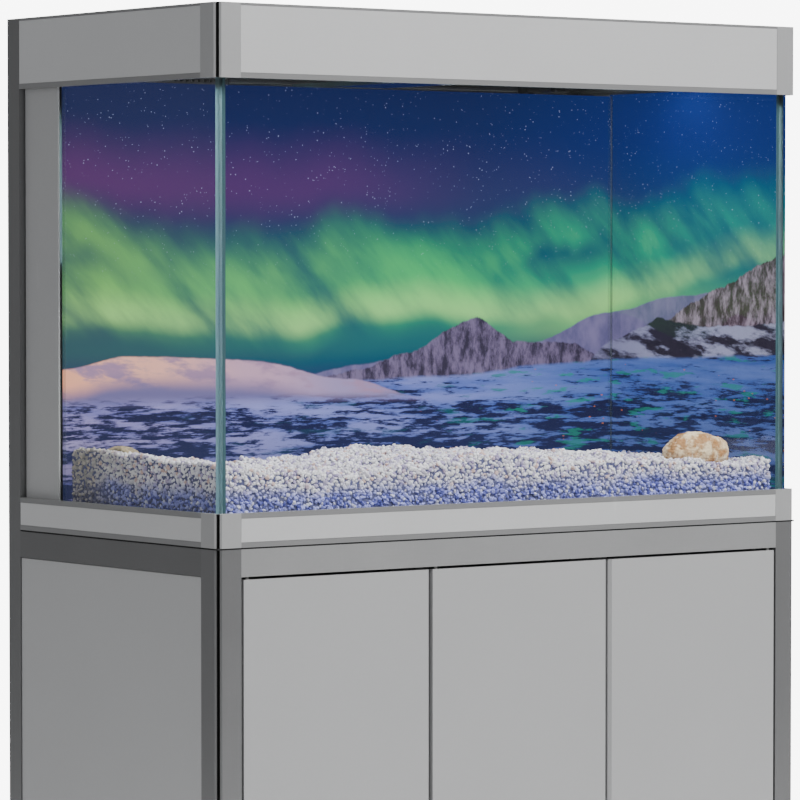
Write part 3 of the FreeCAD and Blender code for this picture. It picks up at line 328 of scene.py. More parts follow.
# ------------------------------------------------------------------ base trim and hood fascias
# Anodised strips with a shallow channel between two lips. A lighter satin band is pressed into
# each channel.
dress(skin("trim_anodised", (0.3, 0.3, 0.302), 0.34, 0.4, (0.02, 0.02, 1), 0.08, 0.08),
      "base_trim", "hood_fascia_front", "hood_fascia_back", "hood_fascia_sides")
CHANNEL_DEPTH = 0.0012
BAND_THICKNESS = 0.001
BAND_GAP = 0.0003
BAND_EDGE = 0.0002
band_finish = skin("band_satin", (0.53, 0.53, 0.532), 0.4, 0.1, (0.02, 0.02, 1), 0.05, 0.05,
                   bump=0.02)


def finished(name, mesh, material, body="carcass", smooth=False):
    """Turn a mesh being built into a named piece that rides on a body."""
    data = bpy.data.meshes.new(name)
    mesh.to_mesh(data)
    mesh.free()
    for polygon in data.polygons:
        polygon.use_smooth = smooth
    made = bpy.data.objects.new(name, data)
    bpy.context.scene.collection.objects.link(made)
    data.materials.append(material)
    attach(made, body)
    return made


def slab(mesh, corner, opposite, bevel=0.0, segments=2):
    """Add a box between two corners to a mesh, with its edges rounded."""
    corner, opposite = Vector(corner), Vector(opposite)
    sizes = opposite - corner
    made = bmesh.ops.create_cube(mesh, size=1, matrix=Matrix.Translation((corner + opposite) / 2)
                                 @ Matrix.Diagonal((*sizes, 1)))
    if bevel:
        edges = {edge for point in made["verts"] for edge in point.link_edges}
        bmesh.ops.bevel(mesh, geom=list(edges), offset=bevel, segments=segments, profile=0.5,
                        affect="EDGES", material=-1)


def bands(name, front_high, bottom, top):
    """Four pressed-in bands round the object, one in the channel of each face."""
    reach_x = front_high[0] - BAND_GAP
    reach_y = high.y - (high.x - front_high[0]) - BAND_GAP
    mesh = bmesh.new()
    bottom, top = bottom + BAND_GAP, top - BAND_GAP
    for side in (-1, 1):
        seat_y = side * (high.y - CHANNEL_DEPTH)
        face_y = side * (high.y - CHANNEL_DEPTH + BAND_THICKNESS)
        slab(mesh, (-reach_x, seat_y, bottom), (reach_x, face_y, top), BAND_EDGE, 1)
        seat_x = side * (high.x - CHANNEL_DEPTH)
        face_x = side * (high.x - CHANNEL_DEPTH + BAND_THICKNESS)
        slab(mesh, (seat_x, -reach_y, bottom), (face_x, reach_y, top), BAND_EDGE, 1)
    bmesh.ops.recalc_face_normals(mesh, faces=mesh.faces)
    return finished(name, mesh, band_finish)


base_low, base_high = (Vector(corner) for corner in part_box("base_trim"))
hood_low, hood_high = (Vector(corner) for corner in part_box("hood_fascia_front"))
BASE_LIP = 0.008
HOOD_TOP_LIP = 0.004
bands("base_bands", hood_high, base_low.z + BASE_LIP, base_high.z - BASE_LIP)
bands("hood_bands", hood_high, hood_low.z + BASE_LIP, hood_high.z - HOOD_TOP_LIP)

# ------------------------------------------------------------------ cabinet boards
# Laminated board with a fine satin skin: side and back panels, and the pale inner boards.
dress(skin("panel_laminate", (0.40, 0.40, 0.402), 0.44, 0.0, (1, 1, 1), 0.05, 0.06, 0.04),
      "side_panels", "back_panel")
dress(skin("inner_laminate", (0.46, 0.455, 0.44), 0.52, 0.0, (0.03, 1, 1), 0.1, 0.12, 0.06),
      "floor_board", "deck_board")

# ------------------------------------------------------------------ doors and their fittings
# Flush laminated doors with a bevelled pull edge, steel pivot pins and strikes, nylon bushes and
# black magnetic catches.
dress(skin("door_laminate", (0.365, 0.365, 0.367), 0.4, 0.0, (1, 1, 1), 0.04, 0.05, 0.04),
      "door_left", "door_middle", "door_right")
steel = skin("zinc_steel", (0.62, 0.62, 0.6), 0.32, 0.95, (1, 1, 0.2), 0.15, 0.3, 0.15)
dress(steel, "door_left_fittings", "door_middle_fittings", "door_right_fittings",
      "corner_brackets", "bracket_screws")
dress(skin("catch_plastic", (0.03, 0.03, 0.032), 0.45, 0.0, fine=0.1, marks=0.3, speck=0.2,
           bump=0.1), "door_magnets")
dress(skin("bush_nylon", (0.72, 0.7, 0.64), 0.4, 0.0, fine=0.05, marks=0.2, speck=0.1),
      "pivot_bushes")

# ------------------------------------------------------------------ feet, gaskets and port ring
# Zinc-plated levelling feet in moulded plugs; black foam strips; a soft rubber ring in the back.
dress(skin("foot_zinc", (0.55, 0.55, 0.54), 0.36, 0.9, (1, 1, 1), 0.1, 0.5, 0.2),
      "foot_front_left", "foot_front_right", "foot_rear_left", "foot_rear_right")
dress(skin("plug_plastic", (0.04, 0.04, 0.042), 0.5, 0.0, speck=0.2, bump=0.1), "foot_inserts")
dress(skin("foam_rubber", (0.018, 0.018, 0.019), 0.85, 0.0, fine=0.5, marks=0.4, speck=0.8,
           bump=0.5), "foam_gaskets")
dress(skin("port_rubber", (0.025, 0.025, 0.026), 0.6, 0.0, speck=0.3, bump=0.15), "port_grommet")


# ------------------------------------------------------------------ glass tank
# Float glass panes bonded edge to face. The ground edges look teal; light for shadows passes
# straight through.
CLEAR_GLASS, EDGE_TEAL, SHADOW_GLASS = (0.975, 0.99, 0.985), (0.30, 0.47, 0.53), (0.97, 0.99, 0.98)


def float_glass(name, thin_axis):
    """Clear glass whose faces across the thin axis are polished and whose edges are ground."""
    made, tree, shader = blank_finish(name)
    shader.inputs["Transmission Weight"].default_value = 1.0
    shader.inputs["IOR"].default_value = 1.45
    facing = tree.nodes.new("ShaderNodeSeparateXYZ")
    feed(tree, facing.inputs[0], tree.nodes.new("ShaderNodeTexCoord").outputs["Normal"])
    on_edge = sum_up(tree, "LESS_THAN", sum_up(tree, "ABSOLUTE", facing.outputs["XYZ".index(
        thin_axis)]), 0.5)
    smears = cloud(tree, own_place(tree), 14, 4, 0.6)
    ground = cloud(tree, own_place(tree), 700, 2, 0.5)
    edge_tone = tint(tree, ground, EDGE_TEAL, tuple(min(1, part * 1.4) for part in EDGE_TEAL))
    feed(tree, shader.inputs["Base Color"], tint(tree, on_edge, CLEAR_GLASS, edge_tone))
    dull = sum_up(tree, "MULTIPLY_ADD", ease(tree, smears, 0.6, 0.85), 0.012, 0.0)
    feed(tree, shader.inputs["Roughness"], sum_up(tree, "MULTIPLY_ADD", on_edge, 0.45, dull))
    clear = tree.nodes.new("ShaderNodeBsdfTransparent")
    clear.inputs["Color"].default_value = (*SHADOW_GLASS, 1)
    path = tree.nodes.new("ShaderNodeLightPath")
    passing = sum_up(tree, "MAXIMUM", path.outputs["Is Shadow Ray"],
                     path.outputs["Is Diffuse Ray"])
    blend = tree.nodes.new("ShaderNodeMixShader")
    feed(tree, blend.inputs[0], passing)
    feed(tree, blend.inputs[1], shader.outputs[0])
    feed(tree, blend.inputs[2], clear.outputs[0])
    feed(tree, tree.nodes["Material Output"].inputs["Surface"], blend.outputs[0])
    return made


dress(float_glass("glass_thin_along_y", "Y"), "glass_front", "glass_rear", "glass_partition")
dress(float_glass("glass_thin_along_x", "X"), "glass_sides", "filter_baffles")
dress(float_glass("glass_thin_along_z", "Z"), "glass_bottom", "glass_braces")

# ------------------------------------------------------------------ silicone seams
# Translucent silicone fillets in the tank's corners: dark in the front corners, clear in the rear.
seam_finish = skin("silicone", (0.05, 0.11, 0.13), 0.3, 0.0, fine=0.05, marks=0.2, speck=0.05)
seam_tree = seam_finish.node_tree
seam_place = seam_tree.nodes.new("ShaderNodeSeparateXYZ")
feed(seam_tree, seam_place.inputs[0], own_place(seam_tree))
feed(seam_tree, seam_tree.nodes["Principled BSDF"].inputs["Alpha"],
     ease(seam_tree, seam_place.outputs["Y"], 0.1, -0.1, 0.12, 0.9))
dress(seam_finish, "silicone_seams")

# ------------------------------------------------------------------ filter side covers
# Grey plastic strips that hide the filter chamber at the ends of the tank.
dress(skin("cover_plastic", (0.36, 0.36, 0.362), 0.42, 0.0, (1, 1, 0.05), 0.05, 0.08, 0.05),
      "filter_side_covers")

# ------------------------------------------------------------------ picture film
# Printed film on the partition and round the right-hand pane: northern lights over a snowfield
# and hills, with a dark backing. One picture runs across both sheets, so it is drawn along the
# wall, corner included.
picture, _, picture_out = new_effect("night_landscape", {}, ("Color",))
rear_film = Vector(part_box("background_film")[1]).y
spot = picture.nodes.new("ShaderNodeSeparateXYZ")
feed(picture, spot.inputs[0], own_place(picture))
wall_x = sum_up(picture, "ADD", spot.outputs["X"],
                sum_up(picture, "SUBTRACT", rear_film, spot.outputs["Y"]))
wall_z = spot.outputs["Z"]
flat = picture.nodes.new("ShaderNodeCombineXYZ")
feed(picture, flat.inputs["X"], wall_x)
feed(picture, flat.inputs["Y"], wall_z)
flat = flat.outputs[0]
WALL_SPAN = (-0.60, 1.06)
PICTURE_FOOT = 0.7


def along(tree, stops, kind="EASE"):
    """Value or colour that changes along the wall, given at a few places."""
    ramp = tree.nodes.new("ShaderNodeValToRGB")
    ramp.color_ramp.interpolation = kind
    share = ease(tree, wall_x, *WALL_SPAN)
    share.node.interpolation_type = "LINEAR"
    feed(tree, ramp.inputs[0], share)
    points = ramp.color_ramp.elements
    while len(points) < len(stops):
        points.new(0.5)
    for point, (where, value) in zip(points, sorted(stops.items())):
        point.position = (where - WALL_SPAN[0]) / (WALL_SPAN[1] - WALL_SPAN[0])
        point.color = (*value, 1) if isinstance(value, tuple) else (value, value, value, 1)
    return ramp.outputs[0]


def outline(stops, rough_scale, rough_size, kind="LINEAR"):
    """Height of a skyline along the wall: a few set heights with noise added. The ramp holds
    the rise over the picture's foot, since it can't hold more than 1."""
    base = along(picture, {where: height - PICTURE_FOOT for where, height in stops.items()}, kind)
    crag = cloud(picture, stretch(picture, flat, (1, 0.25, 1)), rough_scale, 6, 0.6)
    crag = sum_up(picture, "MULTIPLY_ADD", sum_up(picture, "SUBTRACT", crag, 0.5), rough_size,
                  PICTURE_FOOT)
    return sum_up(picture, "ADD", base, crag)


def below(skyline, softness=0.002):
    """1 under a skyline and 0 over it."""
    return ease(picture, sum_up(picture, "SUBTRACT", skyline, wall_z), -softness, softness)


def band(centre, under, over, wave_scale, wave_size):
    """Curtain of light whose centre is a rise over the picture's foot: sharp below its centre
    line and fading slowly above."""
    wave = cloud(picture, stretch(picture, flat, (1, 0.35, 1)), wave_scale, 3, 0.5)
    level = sum_up(picture, "SUBTRACT", wall_z,
                   sum_up(picture, "MULTIPLY_ADD", sum_up(picture, "SUBTRACT", wave, 0.5),
                          wave_size, sum_up(picture, "ADD", centre, PICTURE_FOOT)))
    return sum_up(picture, "MULTIPLY", ease(picture, level, -under, 0.0),
                  ease(picture, level, over, 0.0))


night = tint(picture, ease(picture, wall_z, 1.10, 1.38),
             along(picture, {-0.6: (0.018, 0.03, 0.10), 0.1: (0.01, 0.045, 0.12),
                             1.0: (0.004, 0.06, 0.14)}),
             along(picture, {-0.6: (0.006, 0.012, 0.075), 0.2: (0.004, 0.012, 0.08),
                             0.9: (0.003, 0.022, 0.17)}))
violet = sum_up(picture, "MULTIPLY", band(along(picture, {-0.6: 0.57, 0.3: 0.57, 1.0: 0.5}),
                                          0.08, 0.12, 4, 0.1),
                along(picture, {-0.6: 1.0, -0.1: 0.75, 0.35: 0.15, 1.0: 0.0}))
night = tint(picture, sum_up(picture, "MULTIPLY", violet, 0.8), night, (0.10, 0.022, 0.13))
glow_colour = along(picture, {-0.6: (0.22, 0.62, 0.11), -0.2: (0.12, 0.55, 0.13),
                              0.2: (0.04, 0.55, 0.14), 0.6: (0.03, 0.50, 0.20),
                              1.0: (0.01, 0.30, 0.22)})
lean = sum_up(picture, "MULTIPLY_ADD", wall_z, 0.9, wall_x)
slant = picture.nodes.new("ShaderNodeCombineXYZ")
feed(picture, slant.inputs["X"], lean)
feed(picture, slant.inputs["Y"], wall_z)
rays = cloud(picture, stretch(picture, slant.outputs[0], (1, 0.5, 1), (3.1, 0, 0)), 6.5, 5, 0.55)
rays = ease(picture, rays, 0.3, 0.7, 0.12, 1.1)
main_band = band(along(picture, {-0.6: 0.37, -0.25: 0.345, 0.1: 0.37, 0.45: 0.36, 0.75: 0.42,
                                 1.0: 0.47}), 0.07, 0.13, 2.6, 0.16)
veil = band(along(picture, {-0.6: 0.46, -0.3: 0.43, 0.1: 0.45, 0.5: 0.48, 1.0: 0.52}), 0.05, 0.1,
            4.2, 0.2)
night = tint(picture, sum_up(picture, "MULTIPLY", sum_up(picture, "MULTIPLY", veil, rays), 0.55),
             night, glow_colour)
night = tint(picture, sum_up(picture, "MULTIPLY", main_band, rays, clamp=True), night, glow_colour)
low_glow = band(along(picture, {-0.6: 0.30, 0.2: 0.31, 0.6: 0.35, 1.0: 0.38}), 0.06, 0.07, 3, 0.05)
night = tint(picture, sum_up(picture, "MULTIPLY", low_glow, 0.6), night,
             along(picture, {-0.6: (0.03, 0.12, 0.10), 0.2: (0.01, 0.16, 0.14),
                             0.55: (0.22, 0.55, 0.16), 1.0: (0.05, 0.4, 0.2)}))
core_glow = band(along(picture, {-0.6: 0.355, -0.25: 0.335, 0.1: 0.36, 0.4: 0.35, 0.7: 0.40,
                                 1.0: 0.46}), 0.03, 0.06, 2.6, 0.16)
night = tint(picture, sum_up(picture, "MULTIPLY", sum_up(picture, "MULTIPLY", core_glow, rays),
                             0.55), night, (0.42, 0.80, 0.24))

star_cells = picture.nodes.new("ShaderNodeTexVoronoi")
feed(picture, star_cells.inputs["Vector"], flat)
star_cells.inputs["Scale"].default_value = 150
star_size = cloud(picture, flat, 40, 1, 0.5)
star = sum_up(picture, "LESS_THAN", star_cells.outputs["Distance"],
              sum_up(picture, "MULTIPLY_ADD", ease(picture, star_size, 0.4, 0.75), 0.10, 0.062))
star = sum_up(picture, "MULTIPLY", star, ease(picture, wall_z, 1.05, 1.25))
night = tint(picture, sum_up(picture, "MULTIPLY", star, 0.42), night, (0.6, 0.7, 0.98))

# Far ridge, middle peak, right-hand mountain and dark hillock, from back to front.
snow_patch = cloud(picture, stretch(picture, flat, (1, 0.5, 1)), 34, 6, 0.62)
steep = cloud(picture, stretch(picture, flat, (1.5, 0.6, 1), (0.4, 0, 0)), 34, 9, 0.72)
drift = cloud(picture, stretch(picture, slant.outputs[0], (0.8, 2.2, 1), (1.4, 0, 0)), 13, 7, 0.6)
ridge = outline({-0.6: 0.9, 0.4: 1.0, 0.58: 1.055, 0.8: 1.085, 1.0: 1.11}, 8, 0.02, "EASE")
land = tint(picture, below(ridge), night,
            tint(picture, ease(picture, snow_patch, 0.3, 0.7), (0.10, 0.09, 0.21),
                 (0.19, 0.16, 0.32)))
peak = outline({-0.6: 0.85, 0.0: 0.955, 0.14: 0.99, 0.28: 1.05, 0.36: 1.005, 0.5: 1.0,
                0.62: 0.94, 0.64: 0.85}, 16, 0.03)
land = tint(picture, below(peak), land,
            tint(picture, ease(picture, steep, 0.38, 0.62), (0.03, 0.024, 0.05),
                 (0.17, 0.13, 0.24)))
mountain = outline({-0.6: 0.8, 0.64: 0.9, 0.72: 1.03, 0.85: 1.085, 1.05: 1.16}, 18, 0.035)
land = tint(picture, below(mountain), land,
            tint(picture, ease(picture, steep, 0.42, 0.64), (0.045, 0.025, 0.035),
                 (0.32, 0.24, 0.33)))
hillock = outline({-0.6: 0.8, 0.48: 0.9, 0.56: 0.99, 0.72: 1.045, 0.86: 1.03, 1.05: 1.04}, 20,
                  0.025)
land = tint(picture, below(hillock), land,
            tint(picture, ease(picture, drift, 0.46, 0.58), (0.018, 0.014, 0.03),
                 along(picture, {0.4: (0.12, 0.11, 0.24), 0.8: (0.3, 0.3, 0.48),
                                 1.05: (0.3, 0.3, 0.45)})))

# Rosy snow hill on the left, and the blue snowfield with dark streaks in the foreground.
hill = outline({-0.6: 0.968, -0.42: 0.988, -0.22: 0.98, 0.0: 0.945, 0.16: 0.91, 0.2: 0.85}, 9,
               0.014, "EASE")
rosy = along(picture, {-0.6: (1.0, 0.42, 0.26), -0.42: (0.95, 0.47, 0.36),
                       -0.2: (0.55, 0.33, 0.46), 0.0: (0.32, 0.25, 0.46), 0.2: (0.2, 0.18, 0.42)})
hill_tone = tint(picture, ease(picture, drift, 0.46, 0.62), rosy, (0.36, 0.22, 0.36))
hill_tone = tint(picture, ease(picture, sum_up(picture, "SUBTRACT", hill, wall_z), 0.02, 0.06),
                 hill_tone, (0.15, 0.13, 0.30))
field = outline({-0.6: 0.925, -0.2: 0.93, 0.2: 0.945, 0.5: 0.965, 0.75: 0.975, 1.05: 0.985}, 12,
                0.012, "EASE")
streaks = cloud(picture, stretch(picture, flat, (0.5, 3.6, 1)), 34, 9, 0.7)
ponds = cloud(picture, stretch(picture, flat, (0.6, 3.4, 1), (5.2, 1.7, 0)), 19, 6, 0.6)
broad = cloud(picture, stretch(picture, slant.outputs[0], (0.6, 5.0, 1), (2.2, 0, 0)), 6, 6, 0.6)
snow_cover = sum_up(picture, "ADD", sum_up(picture, "MULTIPLY", streaks, 0.6),
                    sum_up(picture, "MULTIPLY", broad, 0.4))
snow_cover = sum_up(picture, "ADD", snow_cover, ease(picture, wall_z, 0.84, 0.97, -0.03, 0.05))
snow_tone = tint(picture, ease(picture, broad, 0.35, 0.65),
                 along(picture, {-0.6: (0.14, 0.14, 0.42), 0.0: (0.08, 0.12, 0.42),
                                 0.6: (0.04, 0.09, 0.36), 1.05: (0.03, 0.08, 0.32)}),
                 along(picture, {-0.6: (0.36, 0.30, 0.56), 0.0: (0.22, 0.24, 0.58),
                                 0.6: (0.10, 0.16, 0.46), 1.05: (0.10, 0.15, 0.42)}))
field_tone = tint(picture, ease(picture, snow_cover, 0.46, 0.52), (0.010, 0.012, 0.055),
                  snow_tone)
teal_share = sum_up(picture, "MULTIPLY", ease(picture, ponds, 0.57, 0.63),
                    along(picture, {-0.6: 0.1, 0.0: 0.3, 0.4: 0.7, 1.05: 0.7}))
field_tone = tint(picture, teal_share, field_tone,
                  along(picture, {-0.6: (0.01, 0.06, 0.10), 0.15: (0.006, 0.09, 0.11),
                                  0.45: (0.01, 0.24, 0.16), 1.05: (0.01, 0.20, 0.16)}))
dark_foot = ease(picture, wall_z, 0.9, 0.8)
field_tone = tint(picture, sum_up(picture, "MULTIPLY", dark_foot, 0.3), field_tone,
                  (0.02, 0.03, 0.1))
embers = picture.nodes.new("ShaderNodeTexVoronoi")
feed(picture, embers.inputs["Vector"], stretch(picture, flat, (1, 2.2, 1)))
embers.inputs["Scale"].default_value = 26
ember_share = sum_up(picture, "MULTIPLY", sum_up(picture, "LESS_THAN", embers.outputs["Distance"],
                                                 0.07),
                     along(picture, {-0.6: 0.0, 0.3: 0.1, 0.6: 0.8, 1.05: 0.6}))
field_tone = tint(picture, ember_share, field_tone, (0.55, 0.16, 0.05))
land = tint(picture, below(field, 0.004), land, field_tone)
land = tint(picture, sum_up(picture, "MULTIPLY", below(hill), ease(picture, wall_z, 0.90, 0.925)),
            land, hill_tone)
feed(picture, picture_out["Color"], land)

film, film_tree, film_shader = blank_finish("picture_film")
film_print = film_tree.nodes.new("ShaderNodeGroup")
film_print.node_tree = picture
film_way = film_tree.nodes.new("ShaderNodeSeparateXYZ")
feed(film_tree, film_way.inputs[0], film_tree.nodes.new("ShaderNodeTexCoord").outputs["Normal"])
film_back = sum_up(film_tree, "GREATER_THAN",
                   sum_up(film_tree, "MAXIMUM", film_way.outputs["X"], film_way.outputs["Y"]), 0.5)
film_colour = tint(film_tree, film_back, film_print.outputs["Color"], (0.006, 0.008, 0.016))
# Painted light: the print is also given as emission, so the film glows as if lit by the tank's
# lamp; its base colour is darkened to 35% to suit.
feed(film_tree, film_shader.inputs["Base Color"],
     tint(film_tree, 0.65, film_colour, (0.0, 0.0, 0.0)))
feed(film_tree, film_shader.inputs["Emission Color"], film_colour)
film_shader.inputs["Emission Strength"].default_value = 1.0
film_shader.inputs["Specular IOR Level"].default_value = 0.04
film_grain = cloud(film_tree, own_place(film_tree), 420, 2, 0.5)
feed(film_tree, film_shader.inputs["Roughness"],
     sum_up(film_tree, "MULTIPLY_ADD", film_grain, 0.15, 0.6))
emboss(film_tree, film_shader, film_grain, 0.03, 0.0002)
dress(film, "background_film")

# ------------------------------------------------------------------ lamp
# Aluminium bar across the tank with a milky diffuser lit by rows of LEDs behind it.
dress(skin("lamp_anodised", (0.5, 0.5, 0.51), 0.35, 0.8, (0.02, 1, 1), 0.15, 0.15), "lamp_housing")
diffuser = skin("milky_diffuser", (0.85, 0.88, 0.9), 0.45, 0.0, fine=0.05, marks=0.05, speck=0.1,
                extras={"Emission Color": (0.93, 0.96, 1.0, 1), "Emission Strength": 9.0})
dress(diffuser, "lamp_diffuser")

# ------------------------------------------------------------------ hood lids
# Black moulded panels with a spark texture, which hinge on pins in the cross rail's ears.
dress(skin("lid_plastic", (0.045, 0.045, 0.047), 0.46, 0.0, fine=0.2, marks=0.3, speck=0.35,
           bump=0.25), "hood_lid_left", "hood_lid_right", "filter_lid")

# ------------------------------------------------------------------ gravel
# White, rosy and blue-violet crushed stone, a few millimetres across, heaped at the left end and
# left of the middle. A core carries the bulk, and loose stones cover its top and outer faces.
# The core is painted dark, as shade in the gaps between the stones.
bed_low, bed_high = (Vector(corner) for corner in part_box("gravel_bed"))
# Height of the crest at even steps from the left end of the bed to the right.
CREST = (0.8405, 0.8224, 0.812, 0.809, 0.813, 0.826, 0.827, 0.819, 0.814, 0.817, 0.810, 0.801,
         0.804)
crest_places = np.linspace(bed_low.x, bed_high.x, len(CREST))
# Ripples over the bed: turns of the wave along X and Y, its start and its height.
RIPPLES = ((31, 17, 0, 0.0030), (83, -41, 1.7, 0.0024), (-9, 23, 0.6, 0.0022),
           (190, 70, 0, 0.0012))
HEAP_EDGE, HEAP_REACH, HEAP_BACK, HEAP_DEPTH, HEAP_FALL = 0.42, 0.15, 0.05, 0.3, 0.010
TOP_MARGIN = 0.001


def bed_top(x, y):
    """Level of the bed at places across it: the crest, its heap falling to the front left
    corner, and ripples, kept under the top of the bed's box."""
    level = np.interp(x, crest_places, CREST)
    level = level - (HEAP_FALL * np.clip(-x - HEAP_EDGE, 0, HEAP_REACH) / HEAP_REACH
                     * np.clip(HEAP_BACK - y, 0, HEAP_DEPTH) / HEAP_DEPTH)
    for along_x, along_y, start, height in RIPPLES:
        level = level + np.sin(x * along_x + y * along_y + start) * height
    return np.minimum(level, bed_high.z - TOP_MARGIN)


GRIT_SIZE = 0.0040
core = bmesh.new()
bmesh.ops.create_grid(core, x_segments=60, y_segments=24, size=0.5)
inset = Vector((GRIT_SIZE, GRIT_SIZE, 0))
span = bed_high - bed_low - 2 * inset
centre = (bed_low + bed_high) / 2
for point in core.verts:
    point.co.x = centre.x + point.co.x * span.x
    point.co.y = centre.y + point.co.y * span.y
    point.co.z = float(bed_top(point.co.x, point.co.y)) - GRIT_SIZE
rim = [edge for edge in core.edges if edge.is_boundary]
skirt = bmesh.ops.extrude_edge_only(core, edges=rim)
feet = [item for item in skirt["geom"] if isinstance(item, bmesh.types.BMVert)]
for point in feet:
    point.co.z = bed_low.z
bmesh.ops.contextual_create(core, geom=[edge for edge in core.edges if edge.is_boundary])
bmesh.ops.recalc_face_normals(core, faces=core.faces)

grit, grit_tree, grit_shader = blank_finish("crushed_stone")
grit_spot = grit_tree.nodes.new("ShaderNodeSeparateXYZ")
feed(grit_tree, grit_spot.inputs[0], own_place(grit_tree))
pick = grit_tree.nodes.new("ShaderNodeAttribute")
pick.attribute_name = "stone_pick"
pick = pick.outputs["Fac"]
patch = cloud(grit_tree, own_place(grit_tree), 13, 4, 0.6)
height_share = ease(grit_tree, sum_up(grit_tree, "MULTIPLY_ADD", patch, 0.05,
                                      grit_spot.outputs["Z"]), 0.798, 0.828)
pale = tint(grit_tree, ease(grit_tree, pick, 0.55, 0.85), (1.0, 0.95, 1.0), (0.50, 0.42, 0.66))
pale = tint(grit_tree, ease(grit_tree, pick, 0.9, 0.94), pale, (0.80, 0.55, 0.50))
blue = tint(grit_tree, ease(grit_tree, pick, 0.1, 0.6), (0.12, 0.13, 0.50), (0.44, 0.45, 0.96))
blue = tint(grit_tree, ease(grit_tree, pick, 0.8, 0.85), blue, (0.78, 0.76, 0.94))
stone_tone = tint(grit_tree, height_share, blue, pale)
ochre = ease(grit_tree, sum_up(grit_tree, "MULTIPLY_ADD", patch, 0.1, sum_up(
    grit_tree, "MULTIPLY_ADD", grit_spot.outputs["Y"], 0.45, sum_up(
        grit_tree, "MULTIPLY", grit_spot.outputs["X"], -1.0))), 0.58, 0.68)
stone_tone = tint(grit_tree, sum_up(grit_tree, "MULTIPLY", ochre, 0.75), stone_tone,
                  tint(grit_tree, ease(grit_tree, pick, 0.3, 0.7), (0.16, 0.14, 0.10),
                       (0.55, 0.48, 0.36)))
grain = cloud(grit_tree, own_place(grit_tree), 900, 3, 0.6)
feed(grit_tree, grit_shader.inputs["Base Color"],
     tint(grit_tree, 0.2, stone_tone, tint(grit_tree, grain, (0.0, 0.0, 0.0), stone_tone)))
feed(grit_tree, grit_shader.inputs["Roughness"],
     sum_up(grit_tree, "MULTIPLY_ADD", pick, 0.3, 0.5))
emboss(grit_tree, grit_shader, grain, 0.4, 0.0006)
# Painted shade: the core is coloured dark blue-grey so that the gaps between the loose stones look
# shaded.
bed_core = finished("gravel_core", core, skin("gravel_gap_shade", (0.10, 0.10, 0.21), 0.9, fine=0.6,
                                              marks=0.5, speck=0.9, bump=0.8))
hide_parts("gravel_bed")

pattern = bmesh.new()
bmesh.ops.create_icosphere(pattern, subdivisions=1, radius=1)
pattern.verts.ensure_lookup_table()
stone_points = np.array([point.co for point in pattern.verts])
stone_faces = np.array([[point.index for point in face.verts] for face in pattern.faces])
pattern.free()
scatter = np.random.default_rng(7)


def strew(name, places):
    """One piece of loose stones: a copy of the pattern stone at each place, sized and turned."""
    count = len(places)
    sizes = GRIT_SIZE * scatter.uniform(0.75, 1.25, (count, 1, 1)) * scatter.uniform(
        0.55, 1.25, (count, 1, 3))
    knobs = scatter.uniform(0.78, 1.12, (count, len(stone_points), 1))
    shapes = stone_points[None] * knobs * sizes
    turns = scatter.uniform(0, 2 * np.pi, (count, 1, 2))
    for axis, (first, second) in enumerate(((0, 1), (1, 2))):
        cosine, sine = np.cos(turns[..., axis]), np.sin(turns[..., axis])
        one, two = shapes[..., first].copy(), shapes[..., second].copy()
        shapes[..., first] = one * cosine - two * sine
        shapes[..., second] = one * sine + two * cosine
    points = (shapes + np.asarray(places)[:, None, :]).reshape(-1, 3)
    faces = (stone_faces[None] + np.arange(count)[:, None, None] * len(stone_points)).reshape(-1, 3)
    data = bpy.data.meshes.new(name)
    data.from_pydata(points.tolist(), [], faces.tolist())
    tones = data.attributes.new("stone_pick", "FLOAT", "POINT")
    tones.data.foreach_set("value", np.repeat(scatter.uniform(0, 1, count), len(stone_points)))
    data.materials.append(grit)
    made = bpy.data.objects.new(name, data)
    bpy.context.scene.collection.objects.link(made)
    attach(made, "carcass")


# Spacing of the loose stones on the upright faces and on the top.
STONE_STEP, TOP_STEP = 0.0060, 0.0068


def face_places(along_start, along_stop, level_of, build):
    """Places over an upright face of the bed, from its foot to its crest."""
    places = []
    for one in np.arange(along_start, along_stop, STONE_STEP):
        crest = level_of(one)
        for z in np.arange(bed_low.z + GRIT_SIZE, crest, STONE_STEP * 0.9):
            shift = scatter.uniform(-0.45, 0.45, 3) * STONE_STEP
            places.append(build(one + shift[0], shift[1] * 0.6, min(z + shift[2], crest)))
    return places


edge_low, edge_high = bed_low + inset * 1.2, bed_high - inset * 1.2
strew("gravel_front_face", face_places(
    edge_low.x, edge_high.x, lambda x: float(bed_top(x, edge_low.y)) - GRIT_SIZE / 2,
    lambda x, shift, z: (x, edge_low.y - abs(shift), max(z, bed_low.z + GRIT_SIZE))))
for face_name, face_x in (("left", edge_low.x), ("right", edge_high.x)):
    strew(f"gravel_{face_name}_face", face_places(
        edge_low.y, edge_high.y, lambda y, at=face_x: float(bed_top(at, y)) - GRIT_SIZE / 2,
        lambda y, shift, z, at=face_x: (at + shift * 0.5, y, max(z, bed_low.z + GRIT_SIZE))))
top_places = np.array([(x, y) for x in np.arange(edge_low.x, edge_high.x, TOP_STEP)
                       for y in np.arange(edge_low.y, edge_high.y, TOP_STEP)])
top_places += scatter.uniform(-0.5, 0.5, top_places.shape) * TOP_STEP
top_places = np.clip(top_places, (edge_low.x, edge_low.y), (edge_high.x, edge_high.y))
lift = scatter.uniform(-0.3, 0.35, len(top_places)) * GRIT_SIZE
top_places = np.column_stack([top_places, bed_top(top_places[:, 0], top_places[:, 1]) + lift
                              - GRIT_SIZE / 2])
for index, share in enumerate(np.array_split(top_places, 3)):
    strew(f"gravel_top_{index + 1}", share)

